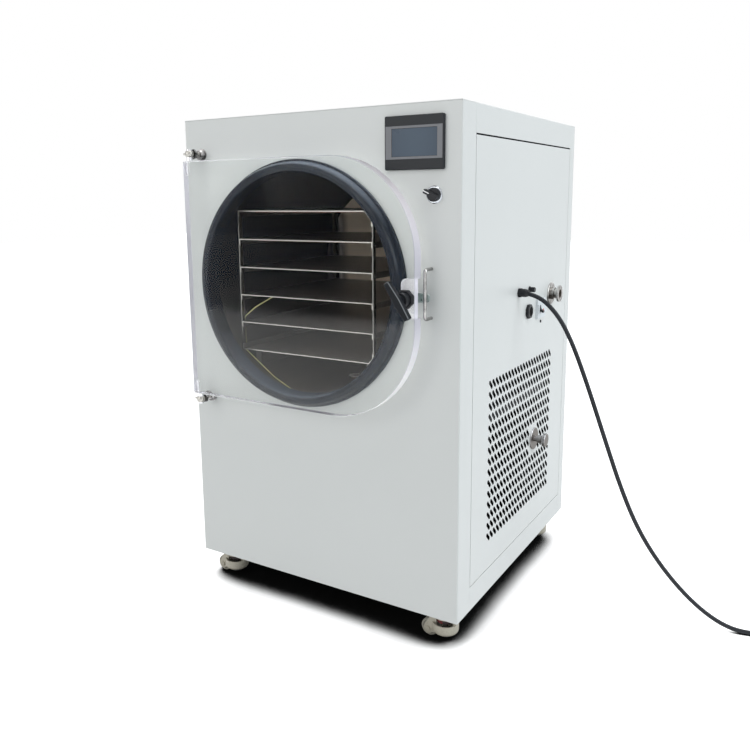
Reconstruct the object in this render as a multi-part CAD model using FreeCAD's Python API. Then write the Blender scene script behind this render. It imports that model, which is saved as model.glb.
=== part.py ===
import FreeCAD, Part
import math
import os

# Cabinet freeze dryer: a sheet-metal cabinet on levelling casters, a round stainless chamber with a
# heated shelf rack, and a clear hinged door that seals on a rubber ring.
# Millimetres. +X to the right as seen from the front, +Y to the back, +Z up, floor at Z = 0.
# The pieces are placed from the front middle of the cabinet, and moved at the end so that the
# origin lies on the floor under the middle of everything but the mains lead.

V = FreeCAD.Vector

# ---------------------------------------------------------------- driving dimensions
cabinet_width = 650.0
cabinet_depth = 650.0
cabinet_height = 975.0
caster_height = 70.0
sheet = 1.5
bend_radius = 2.5
seat_gap = 0.3              # between pieces of different make that sit against each other
running_gap = 0.1           # radial, round a pin or shaft

side_border_front = 57.0    # painted border round the lift-off side panels
side_border_back = 34.0
side_border_top = 53.0
side_border_bottom = 50.0
seam = 1.5
finger_seam = 3.0           # wider gap over a lift-off panel
panel_lip = 12.0

chamber_x = -25.0
chamber_above_base = 638.0
drum_radius = 228.0         # inside
drum_wall = 3.0
drum_depth = 430.0          # inside, from the cabinet's front face
drum_rim = 15.0             # stands out of the front face
drum_corner = 30.0
insulation_thickness = 24.0 # round the drum's wall, the jacket included
insulation_back = 22.0
jacket_thickness = 6.0

gasket_over = 10.5          # outside the drum's wall
gasket_inside = 6.0         # inside the drum's bore
gasket_flare = 16.2         # foot on the front face, outside the drum's wall
gasket_foot = 6.0
gasket_tuck = 12.0          # inner lip behind the front face
door_gap = 25.0             # door's back face to the cabinet

rack_corner = (165.0 / 228.0, 147.6 / 228.0)    # across and up, as shares of the drum's radius
rack_front = 15.0
rack_depth = 363.0
shelf_count = 6
shelf_sheet = 2.0
shelf_flange = 12.0
upright_width = 10.0
top_chamfer = (15.0, 18.0)
bottom_chamfer = (9.0, 9.0)
heater_side_margin = 36.0
heater_margin = 14.0
heater_thickness = 1.6
runner_inset = (31.0, 17.0)     # its inner and outer side, from the rack's side
runner_margin = (24.0, 20.0)    # shorter than the rack at its front and back
harness_size = (9.0, 4.0)
probe_wire = 0.9

door_thickness = 25.0
door_half_height = 247.7
door_offset = 2.0               # its middle above the chamber's axis
door_left = -287.0
door_right = 258.0
door_corner = 185.0
door_small_corner = 4.0
door_chamfer = 1.0
pocket_width = 32.0
pocket_height = 72.0
pocket_depth = 12.0
pocket_radius = 11.0

hinge_x = -279.0
hinge_from_middle = 262.5
stud_radius = 5.0
stud_inside = 13.5
eye_radius = 9.5
eye_height = 13.0
lock_screw = (2.3, 15.5)        # radius, and reach from the eye's axis
lock_nut = (19.0, 5.0)          # across flats, and thickness
cap_nut = (10.8, 9.0)           # radius and length
washer = (12.6, 2.0)
pin_radius = 3.5
pin_collar = 6.5
pin_head = (6.2, 3.0)
pin_in_door = 28.0

latch_x = 240.5
latch_above_base = 631.0
spindle_radius = 4.5
sleeve_radius = 6.5
collar_across = 33.5
collar_flange = 8.0
hub_radius = 13.0
collar_depth = 22.0
pocket_nut = (19.0, 5.5)
paddle_gap = 3.0
paddle_length = 76.0
paddle_width = 15.0
paddle_depth = 12.0
paddle_taper = 0.72             # width at the ends against the middle
paddle_tilt = -33.6             # degrees from upright, top towards the hinge side
boss_radius = 9.0
tongue_reach = 31.5
tongue_depth = 4.0
tongue_hub = 10.0

striker_x = 266.0
striker_radius = 3.2
striker_span = 90.0
striker_above_base = 637.0
striker_bend = 7.0
striker_plate = (18.0, 3.0)     # width and thickness of the plate behind the face

touch_centre = (232.8, 905.6)   # X, height above the cabinet's base
touch_size = (118.0, 95.0)
touch_proud = 8.0
touch_case_depth = 34.0
touch_case_inset = 4.0
fascia_margin = 1.6
fascia_height = (-28.8, 29.8)
screen_size = (90.6, 48.9)
screen_offset = (1.0, 0.5)
screen_sunk = 1.0
screen_thickness = 1.4

selector_centre = (271.0, 814.0)
selector_ring = (15.7, 2.4)     # radius and height
selector_barrel = 11.0
selector_stem = 5.0
contact_block = (30.0, 34.0, 40.0)
knob_radius = 12.5
knob_cap = 4.5
grip_from = -17.0               # the long end is the pointer
grip_to = 12.0
grip_height = 11.0
grip_width = 8.0
selector_angle = 25.0

grille_columns = 22
grille_rows = 15
grille_pitch = (17.25, 22.95)
grille_start = (147.0, 120.9)   # Y and height above the base of the first slot's middle
slot_length = 20.0
slot_width = 6.0
grille_keepout = 34.0           # radius left blank round the drain port

vacuum_port = (502.0, 586.0)    # Y, height above base
drain_port = (411.0, 258.0)
gland_place = (292.0, 610.0)
fuse_place = (356.0, 610.0)
outlet_place = (351.0, 562.5)
breaker_place = (428.0, 560.5)
port_disc = (25.5, 3.0)
port_stub = 25.0
port_wall = 1.5
port_rim = 4.0                  # thickness of the clamp flange at its edge
port_slope = 3.0
vacuum_reach = 23.0
vacuum_radii = (14.0, 11.5, 19.0, 10.0)     # hub, neck, flange, bore
vacuum_hub = (3.0, 11.0)                    # from and to, along the port
drain_reach = 31.0
drain_radii = (9.0, 6.5, 15.0, 5.0)
drain_hub = (11.0, 19.5)
blank_thickness = 3.0
gland_radius = 9.0
gland_length = 22.0
fuse_cap = (5.6, 13.0)
fuse_barrel = (4.8, 26.0)
outlet_across = 30.0
outlet_proud = 7.0
outlet_barrel = (11.7, 22.0)
outlet_recess = (10.4, 12.0)
breaker_size = (54.0, 43.0)
breaker_behind = 50.0
breaker_proud = 5.0
breaker_step = 2.5              # raised band across the middle
lever_from_edge = 10.5
lever_width = 8.0
lever_drum = 5.0
lever_length = 13.0
lever_angle = 28.0

drain_from_front = 212.0        # drain sump in the chamber floor
drain_pipe_radius = 7.0
drain_bend = 28.0
vacuum_pipe_radius = 13.0
vacuum_bend = 35.0
pipe_wall = 1.0
vacuum_hole_from_axis = (125.0, -52.0)

compressor_place = (-120.0, 250.0)
compressor_radius = 82.0
compressor_height = 175.0
compressor_foot = 60.0
condenser_half_width = 140.0
condenser_thickness = 48.0
condenser_top = 345.0
condenser_frame = 6.0
fan_height = 180.0
fan_ring = (122.0, 118.0, 46.0)     # outer and inner radius, and length
fan_blade_radius = 112.0
fan_blades = 5
fan_pitch = 24.0
motor_size = (32.0, 50.0)
fan_shaft = 4.0
control_box_size = (195.0, 90.0, 180.0)

caster_inset = (50.0, 54.0)     # swivel axis from the cabinet's side and front or back
caster_plate = (60.0, 2.5)
caster_trail = 32.0
caster_head = (23.0, 47.0)      # radius, and the height it starts at
swivel_pin = (6.0, 7.0)         # radius, and length below the plate
stem_radius = 5.0
cheek_thickness = 4.0
cheek_clearance = 1.3
axle_radius = 3.0
lobe_radius = 10.5
skirt_radius = 27.0
skirt_wall = 2.5
skirt_low = 14.0
skirt_top = 36.0
skirt_round = 8.0
wheel_radius = 18.0
wheel_width = 18.0
foot_travel = 7.0
foot_radius = 13.0
dial_radius = 17.0
dial_height = (37.0, 44.0)

cord_diameter = 9.0
coil_middle_radius = 52.0
coil_lead_in = 45.0
tail_length = 80.0
relief_level = 8.0
relief_length = 32.0
plug_body = (46.0, 28.0, 22.0)
blade_length = 18.0

# ---------------------------------------------------------------- places that follow from them
half_width = cabinet_width / 2
base_z = caster_height
top_z = base_z + cabinet_height
chamber_z = base_z + chamber_above_base
door_z = chamber_z + door_offset
door_back = -door_gap
door_front = door_back - door_thickness
door_middle = door_back - door_thickness / 2
drum_outer = drum_radius + drum_wall
insulation_radius = drum_outer + insulation_thickness
gasket_outer = drum_outer + gasket_over
gasket_inner = drum_radius - gasket_inside
gasket_base = drum_outer + gasket_flare
rack_half_width = drum_radius * rack_corner[0]
rack_half_height = drum_radius * rack_corner[1]
heater_half_width = rack_half_width - heater_side_margin
runner_from_axis = [rack_half_width - inset for inset in runner_inset]
post = 25.0
beam_y = (110.0, 340.0)
frame_inset = panel_lip + 0.5
pan_thickness = 3.0
paddle_back = door_front - collar_depth - paddle_gap
paddle_front = paddle_back - paddle_depth

reach_front = -paddle_front
reach_right = half_width + drain_reach
shift = V((half_width - reach_right) / 2, (reach_front - cabinet_depth) / 2, 0)


# ---------------------------------------------------------------- shape helpers
def box(x0, x1, y0, y1, z0, z1):
    return Part.makeBox(x1 - x0, y1 - y0, z1 - z0, V(x0, y0, z0))


def rod(axis, x, y, z, radius, length):
    """A cylinder that starts at (x, y, z) and runs along the named axis."""
    return Part.makeCylinder(radius, length, V(x, y, z), V(*[float(axis == a) for a in "XYZ"]))


def prism(axis, x, y, z, sides, across, length, turn=0.0):
    """A regular prism, sized across its flats, that starts at (x, y, z)."""
    radius = across / 2 / math.cos(math.pi / sides)
    corners = []
    for i in range(sides + 1):
        a = math.radians(turn) + 2 * math.pi * (i % sides) / sides
        u, v = radius * math.cos(a), radius * math.sin(a)
        corners.append({"X": V(x, y + u, z + v), "Y": V(x + u, y, z + v), "Z": V(x + u, y + v, z)}[axis])
    face = Part.Face(Part.makePolygon(corners))
    return face.extrude(V(*[length * float(axis == a) for a in "XYZ"]))


def turned(profile, axis, x=0.0, y=0.0, z=0.0):
    """A solid of revolution. profile is a list of (radius, place along the axis); a middle entry with
    three values is a point that an arc passes through."""
    along = {"X": V(1, 0, 0), "Y": V(0, 1, 0), "Z": V(0, 0, 1)}[axis]
    out = {"X": V(0, 0, 1), "Y": V(1, 0, 0), "Z": V(1, 0, 0)}[axis]
    edges = []
    start = profile[0]
    middle = None
    for entry in profile[1:] + [profile[0]]:
        if len(entry) == 3:
            middle = entry
            continue
        a, b = (out * p[0] + along * p[1] for p in (start, entry))
        if middle:
            edges.append(Part.Arc(a, out * middle[0] + along * middle[1], b).toShape())
            middle = None
        else:
            edges.append(Part.makeLine(a, b))
        start = entry
    face = Part.Face(Part.Wire(edges))
    solid = face.revolve(V(0, 0, 0), along, 360)
    solid.translate(V(x, y, z))
    return solid


def edges_where(shape, test):
    return [e for e in shape.Edges if test(e)]


def runs_along(edge, axis):
    """Whether a straight edge is parallel to the named axis."""
    if len(edge.Vertexes) < 2:
        return False
    d = edge.Vertexes[1].Point - edge.Vertexes[0].Point
    across = [abs(getattr(d, a)) for a in "xyz" if a != axis.lower()]
    return max(across) < 1e-6 and abs(edge.Length - d.Length) < 1e-6


def rounded_box(x0, x1, y0, y1, z0, z1, radius, axis):
    """A box whose edges along one axis are rounded."""
    shape = box(x0, x1, y0, y1, z0, z1)
    return shape.makeFillet(radius, edges_where(shape, lambda e: runs_along(e, axis)))


def thickened(points, thickness):
    """The closed outline of a bent sheet: a centre line of (u, v) points with mitred corners."""
    left, right = [], []
    for i, (u, v) in enumerate(points):
        normals = []
        for a, b in ((i - 1, i), (i, i + 1)):
            if a >= 0 and b < len(points):
                du, dv = points[b][0] - points[a][0], points[b][1] - points[a][1]
                size = math.hypot(du, dv)
                normals.append((-dv / size, du / size))
        nu = sum(n[0] for n in normals) / len(normals)
        nv = sum(n[1] for n in normals) / len(normals)
        k = thickness / 2 / (nu * nu + nv * nv)
        left.append((u + nu * k, v + nv * k))
        right.append((u - nu * k, v - nv * k))
    return left + right[::-1]


def bent_sheet(points, thickness, y0, y1):
    """A sheet bent along Y, from its centre line of (x, z) points."""
    outline = [V(x, y0, z) for x, z in thickened(points, thickness)]
    return Part.Face(Part.makePolygon(outline + outline[:1])).extrude(V(0, y1 - y0, 0))


def bend_radii(points):
    """The largest radius at each corner of a free lead: 0.45 of the shorter run sets the tangent."""
    radii = []
    for a, b, c in zip(points, points[1:], points[2:]):
        turn = (b - a).getAngle(c - b)
        radii.append(0.45 * min((b - a).Length, (c - b).Length) / math.tan(turn / 2))
    return radii


def route(points, radii):
    """Straight runs through the points, joined by tangent arcs of the given radii."""
    edges = []
    at = points[0]
    for a, b, c, radius in zip(points, points[1:], points[2:], radii):
        back, ahead = (a - b).normalize(), (c - b).normalize()
        turn = math.pi - back.getAngle(ahead)
        reach = radius * math.tan(turn / 2)
        start, end = b + back * reach, b + ahead * reach
        inward = (back + ahead).normalize()
        middle = b + inward * (radius / math.cos(turn / 2) - radius)
        if (start - at).Length > 1e-6:
            edges.append(Part.makeLine(at, start))
        edges.append(Part.Arc(start, middle, end).toShape())
        at = end
    edges.append(Part.makeLine(at, points[-1]))
    return Part.Wire(edges)


def swept(points, radius, radii):
    """A round bar along a route."""
    path = route(points, radii)
    ahead = (points[1] - points[0]).normalize()
    ring = Part.Wire(Part.makeCircle(radius, points[0], ahead))
    return path.makePipeShell([ring], True, False)


def pipe(points, radius, wall, bend):
    """A bent pipe with one bend radius."""
    radii = [bend] * (len(points) - 2)
    return swept(points, radius, radii).cut(swept(points, radius - wall, radii))


def joined(shapes):
    return shapes[0].multiFuse(shapes[1:]).removeSplitter()


def group(shapes):
    return Part.makeCompound(shapes)


# ---------------------------------------------------------------- cabinet
def front_panel():
    """Face and side returns folded from one sheet, with the openings for what it carries."""
    low, high = base_z, top_z - sheet - seat_gap
    outer = rounded_box(-half_width, half_width, 0, 90, low, high, bend_radius, "Z")
    inner = rounded_box(-half_width + sheet, half_width - sheet, sheet, 120, low - 1, high + 1,
                        bend_radius - sheet, "Z")
    shape = outer.common(box(-half_width, half_width, 0, side_border_front, low, high)).cut(inner)
    cuts = [rod("Y", chamber_x, -1, chamber_z, drum_outer + seat_gap, 5)]
    x, z = touch_centre[0], base_z + touch_centre[1]
    w, h = touch_size[0] / 2 - 3.5, touch_size[1] / 2 - 3.5
    cuts.append(box(x - w, x + w, -1, 4, z - h, z + h))
    cuts.append(rod("Y", selector_centre[0], -1, base_z + selector_centre[1], selector_barrel + seat_gap, 5))
    for side in (-1, 1):
        cuts.append(rod("Y", hinge_x, -1, door_z + side * hinge_from_middle, stud_radius + running_gap, 5))
        cuts.append(rod("Y", striker_x, -1, base_z + striker_above_base + side * striker_span / 2,
                        striker_radius + running_gap, 5))
    return shape.cut(group(cuts))


def top_panel():
    """Lid sheet with a flange down each side, between the front and rear returns."""
    outer = box(-half_width, half_width, 0, cabinet_depth, top_z - side_border_top, top_z)
    outer = outer.makeFillet(bend_radius, edges_where(outer, lambda e: runs_along(e, "Y")
                                                      and e.CenterOfMass.z > top_z - 1))
    inner = box(-half_width + sheet, half_width - sheet, -1, cabinet_depth + 1,
                top_z - side_border_top - 1, top_z - sheet)
    shape = outer.cut(inner)
    below = top_z - sheet
    front_end, rear_end = side_border_front + seat_gap, cabinet_depth - side_border_back - seat_gap
    for y0, y1 in ((-1, front_end), (rear_end, cabinet_depth + 1)):
        shape = shape.cut(box(-half_width - 1, half_width + 1, y0, y1, 0, below))
    return shape


def base_pan():
    """Load-bearing floor pan with a flange up each side, between the front and rear returns."""
    thick = pan_thickness
    inside = half_width - sheet - seat_gap
    plate = box(-inside, inside, sheet + seat_gap, cabinet_depth - sheet - seat_gap, base_z, base_z + thick)
    parts = [plate]
    y0, y1 = side_border_front + seat_gap, cabinet_depth - side_border_back - seat_gap
    for side in (-1, 1):
        x0, x1 = sorted((side * half_width, side * (half_width - sheet)))
        parts.append(box(x0, x1, y0, y1, base_z, base_z + side_border_bottom))
        x0, x1 = sorted((side * (inside - 1), side * half_width))
        parts.append(box(x0, x1, y0, y1, base_z, base_z + thick))
    return joined(parts)


def rear_panel():
    """Rear sheet with side returns and a field of long air slots behind the condenser."""
    low, high = base_z, top_z - sheet - seat_gap
    front = cabinet_depth - side_border_back
    outer = rounded_box(-half_width, half_width, front - 40, cabinet_depth, low, high, bend_radius, "Z")
    inner = rounded_box(-half_width + sheet, half_width - sheet, front - 80, cabinet_depth - sheet,
                        low - 1, high + 1, bend_radius - sheet, "Z")
    shape = outer.common(box(-half_width, half_width, front, cabinet_depth, low, high)).cut(inner)
    slot_long, slot_high, columns, rows = 76.0, 6.0, 3, 11
    cuts = []
    for column in range(columns):
        x = (column - (columns - 1) / 2) * (slot_long + 16)
        for row in range(rows):
            z = base_z + 90 + row * 22
            cuts.append(box(x - slot_long / 2, x + slot_long / 2, cabinet_depth - 5, cabinet_depth + 1,
                            z, z + slot_high))
    return shape.cut(group(cuts))


def polygon_wire(corners, x):
    points = [V(x, y, z) for y, z in corners]
    return Part.makePolygon(points + points[:1])


def circle_wire(y, z, radius, x):
    return Part.Wire(Part.makeCircle(radius, V(x, y, z), V(1, 0, 0)))


def grille_slots(x):
    """Slots at 45 degrees in a regular field, left out round the drain port."""
    wires = []
    c = math.cos(math.radians(45))
    long_half, short_half = slot_length / 2 - slot_width * 0.15, slot_width / 2
    for row in range(grille_rows):
        for column in range(grille_columns):
            y = grille_start[0] + column * grille_pitch[0]
            z = base_z + grille_start[1] + row * grille_pitch[1]
            if math.hypot(y - drain_port[0], z - base_z - drain_port[1]) < grille_keepout:
                continue
            corners = []
            for a, b in ((-1, -1), (1, -1), (1, 1), (-1, 1)):
                u, v = a * long_half, b * short_half
                corners.append((y + c * (u + v), z + c * (v - u)))
            wires.append(polygon_wire(corners, x))
    return wires


def side_panel(side, cut_wires):
    """A lift-off side panel: a shallow tray, outer face flush with the cabinet."""
    y0, y1 = side_border_front + seam, cabinet_depth - side_border_back - seam
    z0, z1 = base_z + side_border_bottom + seam, top_z - side_border_top - finger_seam
    x = side * (half_width - sheet)
    outline = polygon_wire([(y0, z0), (y1, z0), (y1, z1), (y0, z1)], x)
    plate = Part.makeFace([outline] + cut_wires(x), "Part::FaceMakerBullseye").extrude(V(side * sheet, 0, 0))
    x0, x1 = sorted((x, side * (half_width - panel_lip)))
    lips = box(x0, x1, y0, y1, z0, z1)
    lips = lips.cut(box(x0 - 1, x1 + 1, y0 + sheet, y1 - sheet, z0 + sheet, z1 - sheet))
    return joined([plate, lips])


def right_cutouts(x):
    """Everything that passes through the right side panel."""
    clear = seat_gap
    wires = grille_slots(x)
    for (y, z), radius in ((vacuum_port, vacuum_pipe_radius), (drain_port, drain_pipe_radius),
                           (gland_place, gland_radius - 1), (fuse_place, fuse_barrel[0]),
                           (outlet_place, outlet_barrel[0])):
        wires.append(circle_wire(y, base_z + z, radius + clear, x))
    y, z = breaker_place[0], base_z + breaker_place[1]
    w, h = breaker_size[0] / 2 + clear, breaker_size[1] / 2 + clear
    wires.append(polygon_wire([(y - w, z - h), (y + w, z - h), (y + w, z + h), (y - w, z + h)], x))
    return wires


def inner_frame():
    """Welded frame: four posts, two side rails and two cross beams that carry the insulated drum."""
    parts = []
    low, high = base_z + pan_thickness, top_z - sheet - seat_gap
    edge = half_width - sheet - seat_gap
    y_front, y_back = sheet + seat_gap, cabinet_depth - sheet - seat_gap
    beam_top = chamber_z - insulation_radius - seat_gap
    for side in (-1, 1):
        x0, x1 = sorted((side * edge, side * (edge - post)))
        parts.append(box(x0, x1, y_front, y_front + post, low, high))
        parts.append(box(x0, x1, y_back - post, y_back, low, high))
        x0, x1 = sorted((side * (half_width - frame_inset), side * (half_width - frame_inset - post)))
        parts.append(box(x0, x1, y_front + 15, y_back - 15, beam_top - post, beam_top))
    across = half_width - frame_inset - 5
    for y in beam_y:
        parts.append(box(-across, across, y, y + post, beam_top - post, beam_top))
    return joined(parts)


# ---------------------------------------------------------------- chamber
def chamber_drum():
    """Stainless drum with a rounded back, rack runners, a drain sump hole and a vacuum hole."""
    r, w, d, c = drum_radius, drum_wall, drum_depth, drum_corner
    k = c * (1 - math.cos(math.radians(45)))
    kw = (c + w) * (1 - math.cos(math.radians(45)))
    shape = turned([(r, -drum_rim), (r + w, -drum_rim), (r + w, d - c), (r + w - kw, d + w - kw, "arc"),
                    (r - c, d + w), (0, d + w), (0, d), (r - c, d), (r - k, d - k, "arc"), (r, d - c)],
                   "Y", chamber_x, 0, chamber_z)
    blank = rod("Y", chamber_x, rack_front + runner_margin[0], chamber_z, r + w / 2,
                rack_depth - sum(runner_margin))
    seat = chamber_z - rack_half_height - seat_gap
    for side in (-1, 1):
        a, b = sorted((chamber_x + side * runner_from_axis[0], chamber_x + side * runner_from_axis[1]))
        runner = box(a, b, rack_front, rack_front + rack_depth, chamber_z - r, seat).common(blank)
        shape = shape.fuse(runner)
    x, z = chamber_x + vacuum_hole_from_axis[0], chamber_z + vacuum_hole_from_axis[1]
    shape = shape.cut(rod("Y", x, d - 5, z, vacuum_pipe_radius - 2, 20))
    return shape.cut(rod("Z", chamber_x, drain_from_front, chamber_z - r - 20, drain_pipe_radius - 1.5, 40))


def cooling_jacket():
    """Flat jacket round the drum with its two refrigerant stubs."""
    inner, outer = drum_outer + seat_gap, drum_outer + jacket_thickness
    y0, y1 = 40.0, drum_depth - drum_corner - 5
    shape = turned([(inner, y0), (outer, y0), (outer, y1), (inner, y1)], "Y", chamber_x, 0, chamber_z)
    hole = rod("Z", chamber_x, drain_from_front, chamber_z - outer - 10, drain_pipe_radius + 3, 40)
    return shape.cut(hole)


def drum_insulation():
    """Moulded foam shell behind and round the jacket."""
    inner = drum_outer + jacket_thickness + seat_gap
    back = drum_depth + drum_wall + seat_gap
    y0 = sheet + 6
    shape = turned([(inner, y0), (insulation_radius, y0), (insulation_radius, back + insulation_back),
                    (0, back + insulation_back), (0, back), (inner, back)], "Y", chamber_x, 0, chamber_z)
    x, z = chamber_x + vacuum_hole_from_axis[0], chamber_z + vacuum_hole_from_axis[1]
    shape = shape.cut(rod("Y", x, back - 10, z, vacuum_pipe_radius + seat_gap, 60))
    return shape.cut(rod("Z", chamber_x, drain_from_front, chamber_z - insulation_radius - 5,
                         drain_pipe_radius + 1.5, 40))


def door_gasket():
    """Rubber ring in a channel section that grips the drum's rim: a foot on the front face and a
    rounded sealing face."""
    front = door_back + seat_gap
    half = (gasket_outer - gasket_inner) / 2
    middle = gasket_inner + half
    shoulder = front + half
    grip_in, grip_out = drum_radius - seat_gap, drum_outer + seat_gap
    profile = [(gasket_base, -seat_gap), (gasket_base, -gasket_foot),
               (gasket_outer + 1.5, -gasket_foot - 1.5), (gasket_outer, shoulder),
               (middle, front, "arc"), (gasket_inner, shoulder),
               (gasket_inner, gasket_tuck), (grip_in, gasket_tuck), (grip_in, -drum_rim - seat_gap),
               (grip_out, -drum_rim - seat_gap), (grip_out, -seat_gap)]
    return turned(profile, "Y", chamber_x, 0, chamber_z)


def shelf_height(number):
    """Top face of a shelf, counted from 1 at the top."""
    pitch = (2 * rack_half_height - shelf_sheet) / (shelf_count - 1)
    return chamber_z + rack_half_height - (number - 1) * pitch


def rack_uprights():
    """Four flat bars, front and rear, that the shelf flanges are screwed to."""
    bars = []
    low, high = chamber_z - rack_half_height, chamber_z + rack_half_height
    for y in (rack_front, rack_front + rack_depth - upright_width):
        left = chamber_x - rack_half_width
        bars.append(box(left, left + shelf_sheet, y, y + upright_width, low, high))
        right = chamber_x + rack_half_width
        bars.append(box(right - shelf_sheet, right, y, y + upright_width,
                        low + bottom_chamfer[1], high - top_chamfer[1]))
    return group(bars)


def shelf(number):
    """A bent shelf plate; the top and bottom ones are cut back at the right to follow the drum."""
    half = shelf_sheet / 2
    z = shelf_height(number) - half
    left = chamber_x - rack_half_width + shelf_sheet + half
    right = chamber_x + rack_half_width - shelf_sheet - half
    flange = shelf_flange - half
    if number == 1:
        line = [(left, z - flange), (left, z), (right - top_chamfer[0], z), (right, z - top_chamfer[1]),
                (right, z - top_chamfer[1] - flange)]
    elif number == shelf_count:
        line = [(left, z + flange), (left, z), (right - bottom_chamfer[0], z), (right, z + bottom_chamfer[1]),
                (right, z + bottom_chamfer[1] + flange)]
    else:
        line = [(left, z - flange), (left, z), (right, z), (right, z - flange)]
    return bent_sheet(line, shelf_sheet, rack_front, rack_front + rack_depth)


def shelf_heaters():
    """A silicone heater mat under each shelf."""
    mats = []
    for number in range(1, shelf_count + 1):
        top = shelf_height(number) - shelf_sheet
        mats.append(box(chamber_x - heater_half_width, chamber_x + heater_half_width,
                        rack_front + heater_margin, rack_front + rack_depth - heater_margin,
                        top - heater_thickness, top))
    return group(mats)


def heater_harness():
    """Flat lead bundle down the back of the rack, on the left rear upright."""
    x = chamber_x - rack_half_width
    y = rack_front + rack_depth + seat_gap
    z0, z1 = chamber_z - rack_half_height + 20, chamber_z + rack_half_height - 15
    return rounded_box(x, x + harness_size[0], y, y + harness_size[1], z0, z1, 1.5, "Z")


def probe_lead():
    """Temperature probe wire: from under the fourth shelf, out behind the left front upright, and round
    the rack's lower corner to the drum's floor."""
    wire = probe_wire
    by_wall = drum_radius - 1.3 - wire
    behind = rack_front + upright_width + 5
    fourth = shelf_height(4) - shelf_sheet - heater_thickness - wire - seat_gap
    left = chamber_x - rack_half_width - wire - 2.3

    def on_wall(angle, y, radius=by_wall):
        a = math.radians(angle)
        return V(chamber_x + radius * math.cos(a), y, chamber_z + radius * math.sin(a))

    corner = math.degrees(math.atan2(-rack_half_height, shelf_sheet - rack_half_width))
    points = [V(left + 65.2, behind + 20, fourth), V(left + 28.2, behind + 2, fourth - 24),
              V(left, behind, fourth - 46), on_wall(corner, behind), on_wall(-115, behind + 3),
              on_wall(-98.6, rack_front + 1)]
    return swept(points, wire, [10 * wire] * (len(points) - 2))


# ---------------------------------------------------------------- front fittings
def touch_panel():
    """Operator panel: a bezel on the front face and a case behind it, with a seat for the screen."""
    x, z = touch_centre[0], base_z + touch_centre[1]
    w, h = touch_size[0] / 2, touch_size[1] / 2
    bezel = rounded_box(x - w, x + w, -touch_proud, 0, z - h, z + h, 3, "Y")
    bezel = bezel.makeChamfer(1.2, edges_where(bezel, lambda e: abs(e.CenterOfMass.y + touch_proud) < 1e-6))
    w_in, h_in = w - touch_case_inset, h - touch_case_inset
    case = box(x - w_in, x + w_in, -1, touch_case_depth, z - h_in, z + h_in)
    sx, sz = x + screen_offset[0], z + screen_offset[1]
    fascia = box(x - w + fascia_margin, x + w - fascia_margin, -touch_proud - 1, -touch_proud + 0.6,
                 z + fascia_height[0], z + fascia_height[1])
    floor = -touch_proud + screen_sunk + screen_thickness
    seat = box(sx - screen_size[0] / 2, sx + screen_size[0] / 2, -touch_proud - 1, floor,
               sz - screen_size[1] / 2, sz + screen_size[1] / 2)
    return bezel.fuse(case).cut(fascia).cut(seat)


def touch_screen():
    x, z = touch_centre[0] + screen_offset[0], base_z + touch_centre[1] + screen_offset[1]
    w, h = screen_size[0] / 2 - running_gap, screen_size[1] / 2 - running_gap
    front = -touch_proud + screen_sunk
    return box(x - w, x + w, front, front + screen_thickness, z - h, z + h)


def selector_bezel():
    """Chromed ring, threaded barrel and contact block of the selector switch."""
    x, z = selector_centre[0], base_z + selector_centre[1]
    r, high = selector_ring
    wide, deep, tall = contact_block
    ring = turned([(0, -high), (r - 1.6, -high), (r, -high + 1.5), (r, 0), (0, 0)], "Y", x, 0, z)
    barrel = rod("Y", x, -0.5, z, selector_barrel, 14.5)
    block = box(x - wide / 2, x + wide / 2, 14, 14 + deep, z - tall / 2, z + tall / 2)
    return joined([ring, barrel, block]).cut(rod("Y", x, -3, z, selector_stem + running_gap, 12))


def selector_knob():
    """Round knob with a raised grip bar whose long end is the pointer."""
    x, z = selector_centre[0], base_z + selector_centre[1]
    front = -selector_ring[1] - seat_gap
    r = knob_radius
    cap = turned([(0, front), (r, front), (r, front - knob_cap + 1.5), (r - 1.5, front - knob_cap),
                  (0, front - knob_cap)], "Y", x, 0, z)
    grip = rounded_box(x + grip_from, x + grip_to, front - grip_height, front - knob_cap + 0.5,
                       z - grip_width / 2, z + grip_width / 2, 2, "Y")
    stem = rod("Y", x, front - 1, z, selector_stem, 10)
    knob = joined([cap, grip, stem])
    knob.rotate(V(x, 0, z), V(0, 1, 0), selector_angle)
    return knob


def striker_bar():
    """Bent round bar whose two legs pass the front face and are welded to a backing plate."""
    z0 = base_z + striker_above_base
    half = striker_span / 2
    x = striker_x
    points = [V(x, sheet + 1, z0 - half), V(x, -door_gap, z0 - half), V(x, -door_gap, z0 + half),
              V(x, sheet + 1, z0 + half)]
    bar = swept(points, striker_radius, [striker_bend] * 2)
    w = striker_plate[0] / 2
    plate = box(x - w, x + w, sheet, sheet + striker_plate[1], z0 - half - w, z0 + half + w)
    return joined([bar, plate])


def hinge_nuts_at(z):
    """Lock nut behind the eye, and a washer and nut on each side of the front face."""
    behind_eye = door_middle + eye_radius - 1.2
    lock = prism("Y", hinge_x, behind_eye, z, 6, lock_nut[0], lock_nut[1], 15)
    r, thick = washer
    cap_r, cap_long = cap_nut
    end = -thick - cap_long
    cap = turned([(0, end), (cap_r - 3, end), (cap_r, end + 3), (cap_r, -thick), (r, -thick), (r, 0), (0, 0)],
                 "Y", hinge_x, 0, z)
    hexagon = prism("Y", hinge_x, sheet + thick, z, 6, 17, 8, 15)
    inner = joined([rod("Y", hinge_x, sheet, z, r, thick), hexagon])
    bore = rod("Y", hinge_x, door_middle, z, stud_radius, 60)
    return [piece.cut(bore) for piece in (lock, cap, inner)]


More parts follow.
